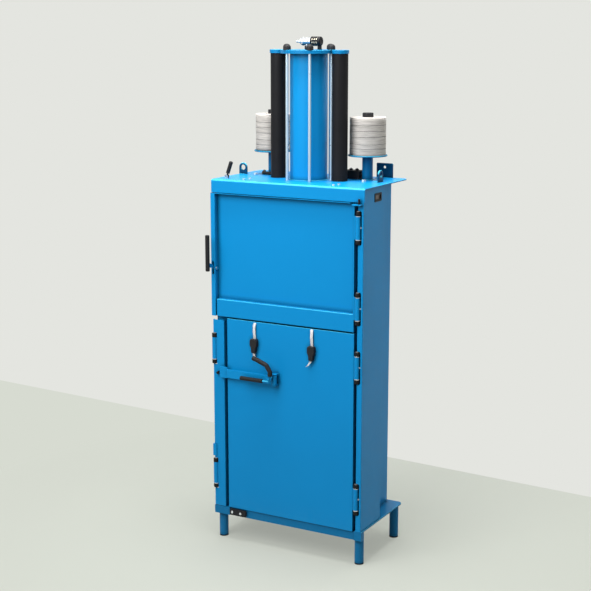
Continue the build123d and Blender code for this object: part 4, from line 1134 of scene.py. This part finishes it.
def bead(mesh, points, radius, closed=False):  # weld seam with its ripples
    look = beadSize
    sides, ripple = look["sides"], look["ripple"]
    share, scale = look["grain"]
    rings = []
    for index, point in enumerate(points):
        last = len(points) - 1
        before = points[index - 1] if index else (points[-1] if closed else points[0])
        after = points[index + 1] if index < last else (points[0] if closed else points[last])
        turn = Vector((0, 0, 1)).rotation_difference((after - before).normalized()).to_matrix()
        beat = ripple * math.sin(index * look["beat"])
        wide = radius * (1 + beat + share * ripple * noise.noise(point * scale))
        angles = [2 * math.pi * side / sides for side in range(sides)]
        spots = [point + turn @ Vector((math.cos(a), math.sin(a), 0)) * wide for a in angles]
        rings.append([mesh.verts.new(spot) for spot in spots])
    pairs = list(zip(rings, rings[1:])) + ([(rings[-1], rings[0])] if closed else [])
    for first, second in pairs:
        for side in range(sides):
            after = (side + 1) % sides
            mesh.faces.new((first[side], first[after], second[after], second[side]))
    if not closed:
        mesh.faces.new(rings[0])
        mesh.faces.new(rings[-1])


def ringBead(mesh, x, y, z, ring, fit):  # bead all round a post, just off its side
    count = int(2 * math.pi * ring / beadSize["pitch"])
    angles = [2 * math.pi * step / count for step in range(count)]
    reach, height = ring + fit[0], z + fit[1]
    points = [Vector((x + reach * math.cos(a), y + reach * math.sin(a), height)) for a in angles]
    bead(mesh, points, beadSize["radius"], True)


def welds():
    size = beadSize
    mesh = bmesh.new()
    tubeLow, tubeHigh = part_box("cylinder_tube")
    plateTop = tubeLow.z
    spots = [(0.0, (tubeLow.y + tubeHigh.y) / 2, (tubeHigh.x - tubeLow.x) / 2)]
    for side in ("left", "right"):
        rollLow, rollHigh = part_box("strap_roll_" + side)
        spots.append(((rollLow.x + rollHigh.x) / 2, (rollLow.y + rollHigh.y) / 2, size["stand"]))
    for x, y, ring in spots:
        ringBead(mesh, x, y, plateTop, ring, size["plateFit"])
    eyeLow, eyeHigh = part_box("lifting_eyes")
    inset, half = size["eyeInset"], size["eyeHalf"]
    for x, y in zip((eyeLow.x + inset, eyeHigh.x - inset), size["eyes"]):
        for turn in (-1, 1):
            depth = y + turn * size["eyeSide"]
            start, end = Vector((x - half, depth, plateTop)), Vector((x + half, depth, plateTop))
            rings = size["eyeRings"]
            points = [start.lerp(end, step / (rings - 1)) for step in range(rings)]
            bead(mesh, points, size["radius"] * size["eyeShare"])
    legLow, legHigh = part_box("legs")
    leg = size["leg"]
    for x in (legLow.x + leg, legHigh.x - leg):
        ringBead(mesh, x, legHigh.y - leg, legHigh.z, leg, size["legFit"])
    piece = asPiece("weldBeads", mesh, [blueCoat], "cabinet", sharpAngle=60)


welds()
print("welds")


# camera, floor, wall and lamps

photoCamera = {
    "place": (2.736, -5.0248, 2.2916),
    "tilt": 78.48,
    "turn": 29.0,
    "lens": 81.15,
    "sensor": 36,
}
camera = bpy.data.objects.new("photoCamera", bpy.data.cameras.new("photoCamera"))
scene.collection.objects.link(camera)
camera.location = photoCamera["place"]
camera.rotation_euler = (math.radians(photoCamera["tilt"]), 0, math.radians(photoCamera["turn"]))
camera.data.lens = photoCamera["lens"]
camera.data.sensor_width = photoCamera["sensor"]
scene.camera = camera

room = {
    "wall": tint(228, 229, 224),
    "wallGrain": (1.5, 0.99),  # scale, and the darkest share of the tone
    "floor": tint(215, 219, 209),
    "floorGrain": (2.0, 0.985),
    "lineStart": (-3.065, 1.435),
    "lineEnd": (0.981, 1.153),
    "reach": 14.0,
    "rise": 9.0,
    "flatShare": 0.46,  # of the floor's tone as the camera sees it
    "flatFrom": (1.25, 0.6),  # distance at which the floor turns flat, and the soft part
    "litShare": 0.76,  # what the lamps on the floor leave of its tone
    "bounceShare": 0.35,  # of the floor's tone as it lights the machine
}


def shown(tree):  # 1 for the rays that bring the room to the camera
    rays = ("Is Camera Ray", "Is Glossy Ray", "Is Transmission Ray")
    direct, glossy, through = (tree.add("ShaderNodeLightPath", {}, {}, ray) for ray in rays)
    return direct + glossy + through


def mixedShader(tree, share, first, second):
    return tree.add("ShaderNodeMixShader", {}, {0: share, 1: first, 2: second})


def glow(finish, colour):
    return finish.add("ShaderNodeEmission", {}, {"Color": colour, "Strength": 1.0})


def surface(finish, signal):
    finish.feed(finish.nodes["Material Output"].inputs["Surface"], signal)
    return finish.material


def wallFinish():  # the same flat tone for the camera and in reflections, open from behind
    finish = Finish("room_wall", {"Roughness": 1.0})
    scale, darkest = room["wallGrain"]
    tone = finish.between(finish.cloud(scale), scaled(room["wall"], darkest), room["wall"])
    finish.use("Base Color", tone)
    lit = Signal(finish, finish.shader.outputs[0])
    front = mixedShader(finish, shown(finish), lit, glow(finish, room["wall"]))
    behind = finish.add("ShaderNodeNewGeometry", {}, {}, "Backfacing")
    clear = finish.add("ShaderNodeBsdfTransparent", {}, {})
    return surface(finish, mixedShader(finish, behind, front, clear))


def floorFinish():  # part flat tone, part lit, so that the machine's shadow stays soft
    finish = Finish("room_floor", {"Roughness": 0.9, "Specular IOR Level": 0.1})
    scale, darkest = room["floorGrain"]
    seen = shown(finish)
    tone = scaled(room["floor"], room["litShare"])
    grained = finish.between(finish.cloud(scale), scaled(tone, darkest), tone)
    dim = scaled(room["floor"], room["bounceShare"])
    finish.use("Base Color", finish.between(seen, dim, grained))
    away = finish.add("ShaderNodeVectorMath", {"operation": "LENGTH"}, {0: finish.place}, "Value")
    flat = room["flatShare"] + away.above(*room["flatFrom"]) * (1 - room["flatShare"])
    lit = Signal(finish, finish.shader.outputs[0])
    return surface(finish, mixedShader(finish, seen * flat, lit, glow(finish, room["floor"])))


def backdrop(name, corners, finish):
    mesh = bmesh.new()
    mesh.faces.new([mesh.verts.new(corner) for corner in corners])
    bpyMesh = bpy.data.meshes.new(name)
    mesh.to_mesh(bpyMesh)
    mesh.free()
    bpyMesh.materials.append(finish)
    sheet = bpy.data.objects.new(name, bpyMesh)
    scene.collection.objects.link(sheet)


start, end = Vector((*room["lineStart"], 0)), Vector((*room["lineEnd"], 0))
along = (end - start).normalized()
left, right = start - along * room["reach"], end + along * room["reach"]
forward = Vector((along.y, -along.x, 0)) * room["reach"]
up = Vector((0, 0, room["rise"]))
floorCorners = (left + forward, right + forward, right - forward, left - forward)
backdrop("roomFloor", floorCorners, floorFinish())
backdrop("roomWall", (left, right, right + up, left + up), wallFinish())

# the world: a dim sky lights the machine, a pale one is seen and reflected
sky = {"colour": tint(226, 229, 232), "lighting": 0.27, "reflected": 0.85}
world = bpy.data.worlds.new("plainRoom")
air = NodeTree(world)
air.nodes.remove(air.nodes["Background"])
shades = [{"Color": sky["colour"], "Strength": sky[use]} for use in ("lighting", "reflected")]
dimSky, paleSky = (air.add("ShaderNodeBackground", {}, shade) for shade in shades)
air.feed(air.nodes["World Output"].inputs["Surface"], mixedShader(air, shown(air), dimSky, paleSky))
scene.world = world

lamps = {
    "keyLamp": {"place": (-0.45, -2.55, 3.2), "size": 2.4, "power": 91.0, "aim": (0, 0, 1.2)},
    "topLamp": {"place": (0.1, -0.3, 4.4), "size": 1.8, "power": 150.0, "aim": (0, 0, 1.6)},
}
for name, look in lamps.items():
    lamp = bpy.data.lights.new(name, "AREA")
    lamp.size = look["size"]
    lamp.energy = look["power"]
    holder = bpy.data.objects.new(name, lamp)
    scene.collection.objects.link(holder)
    holder.location = look["place"]
    aim = Vector(look["aim"]) - Vector(look["place"])
    holder.rotation_euler = aim.to_track_quat("-Z", "Y").to_euler()
print("room and lamps")
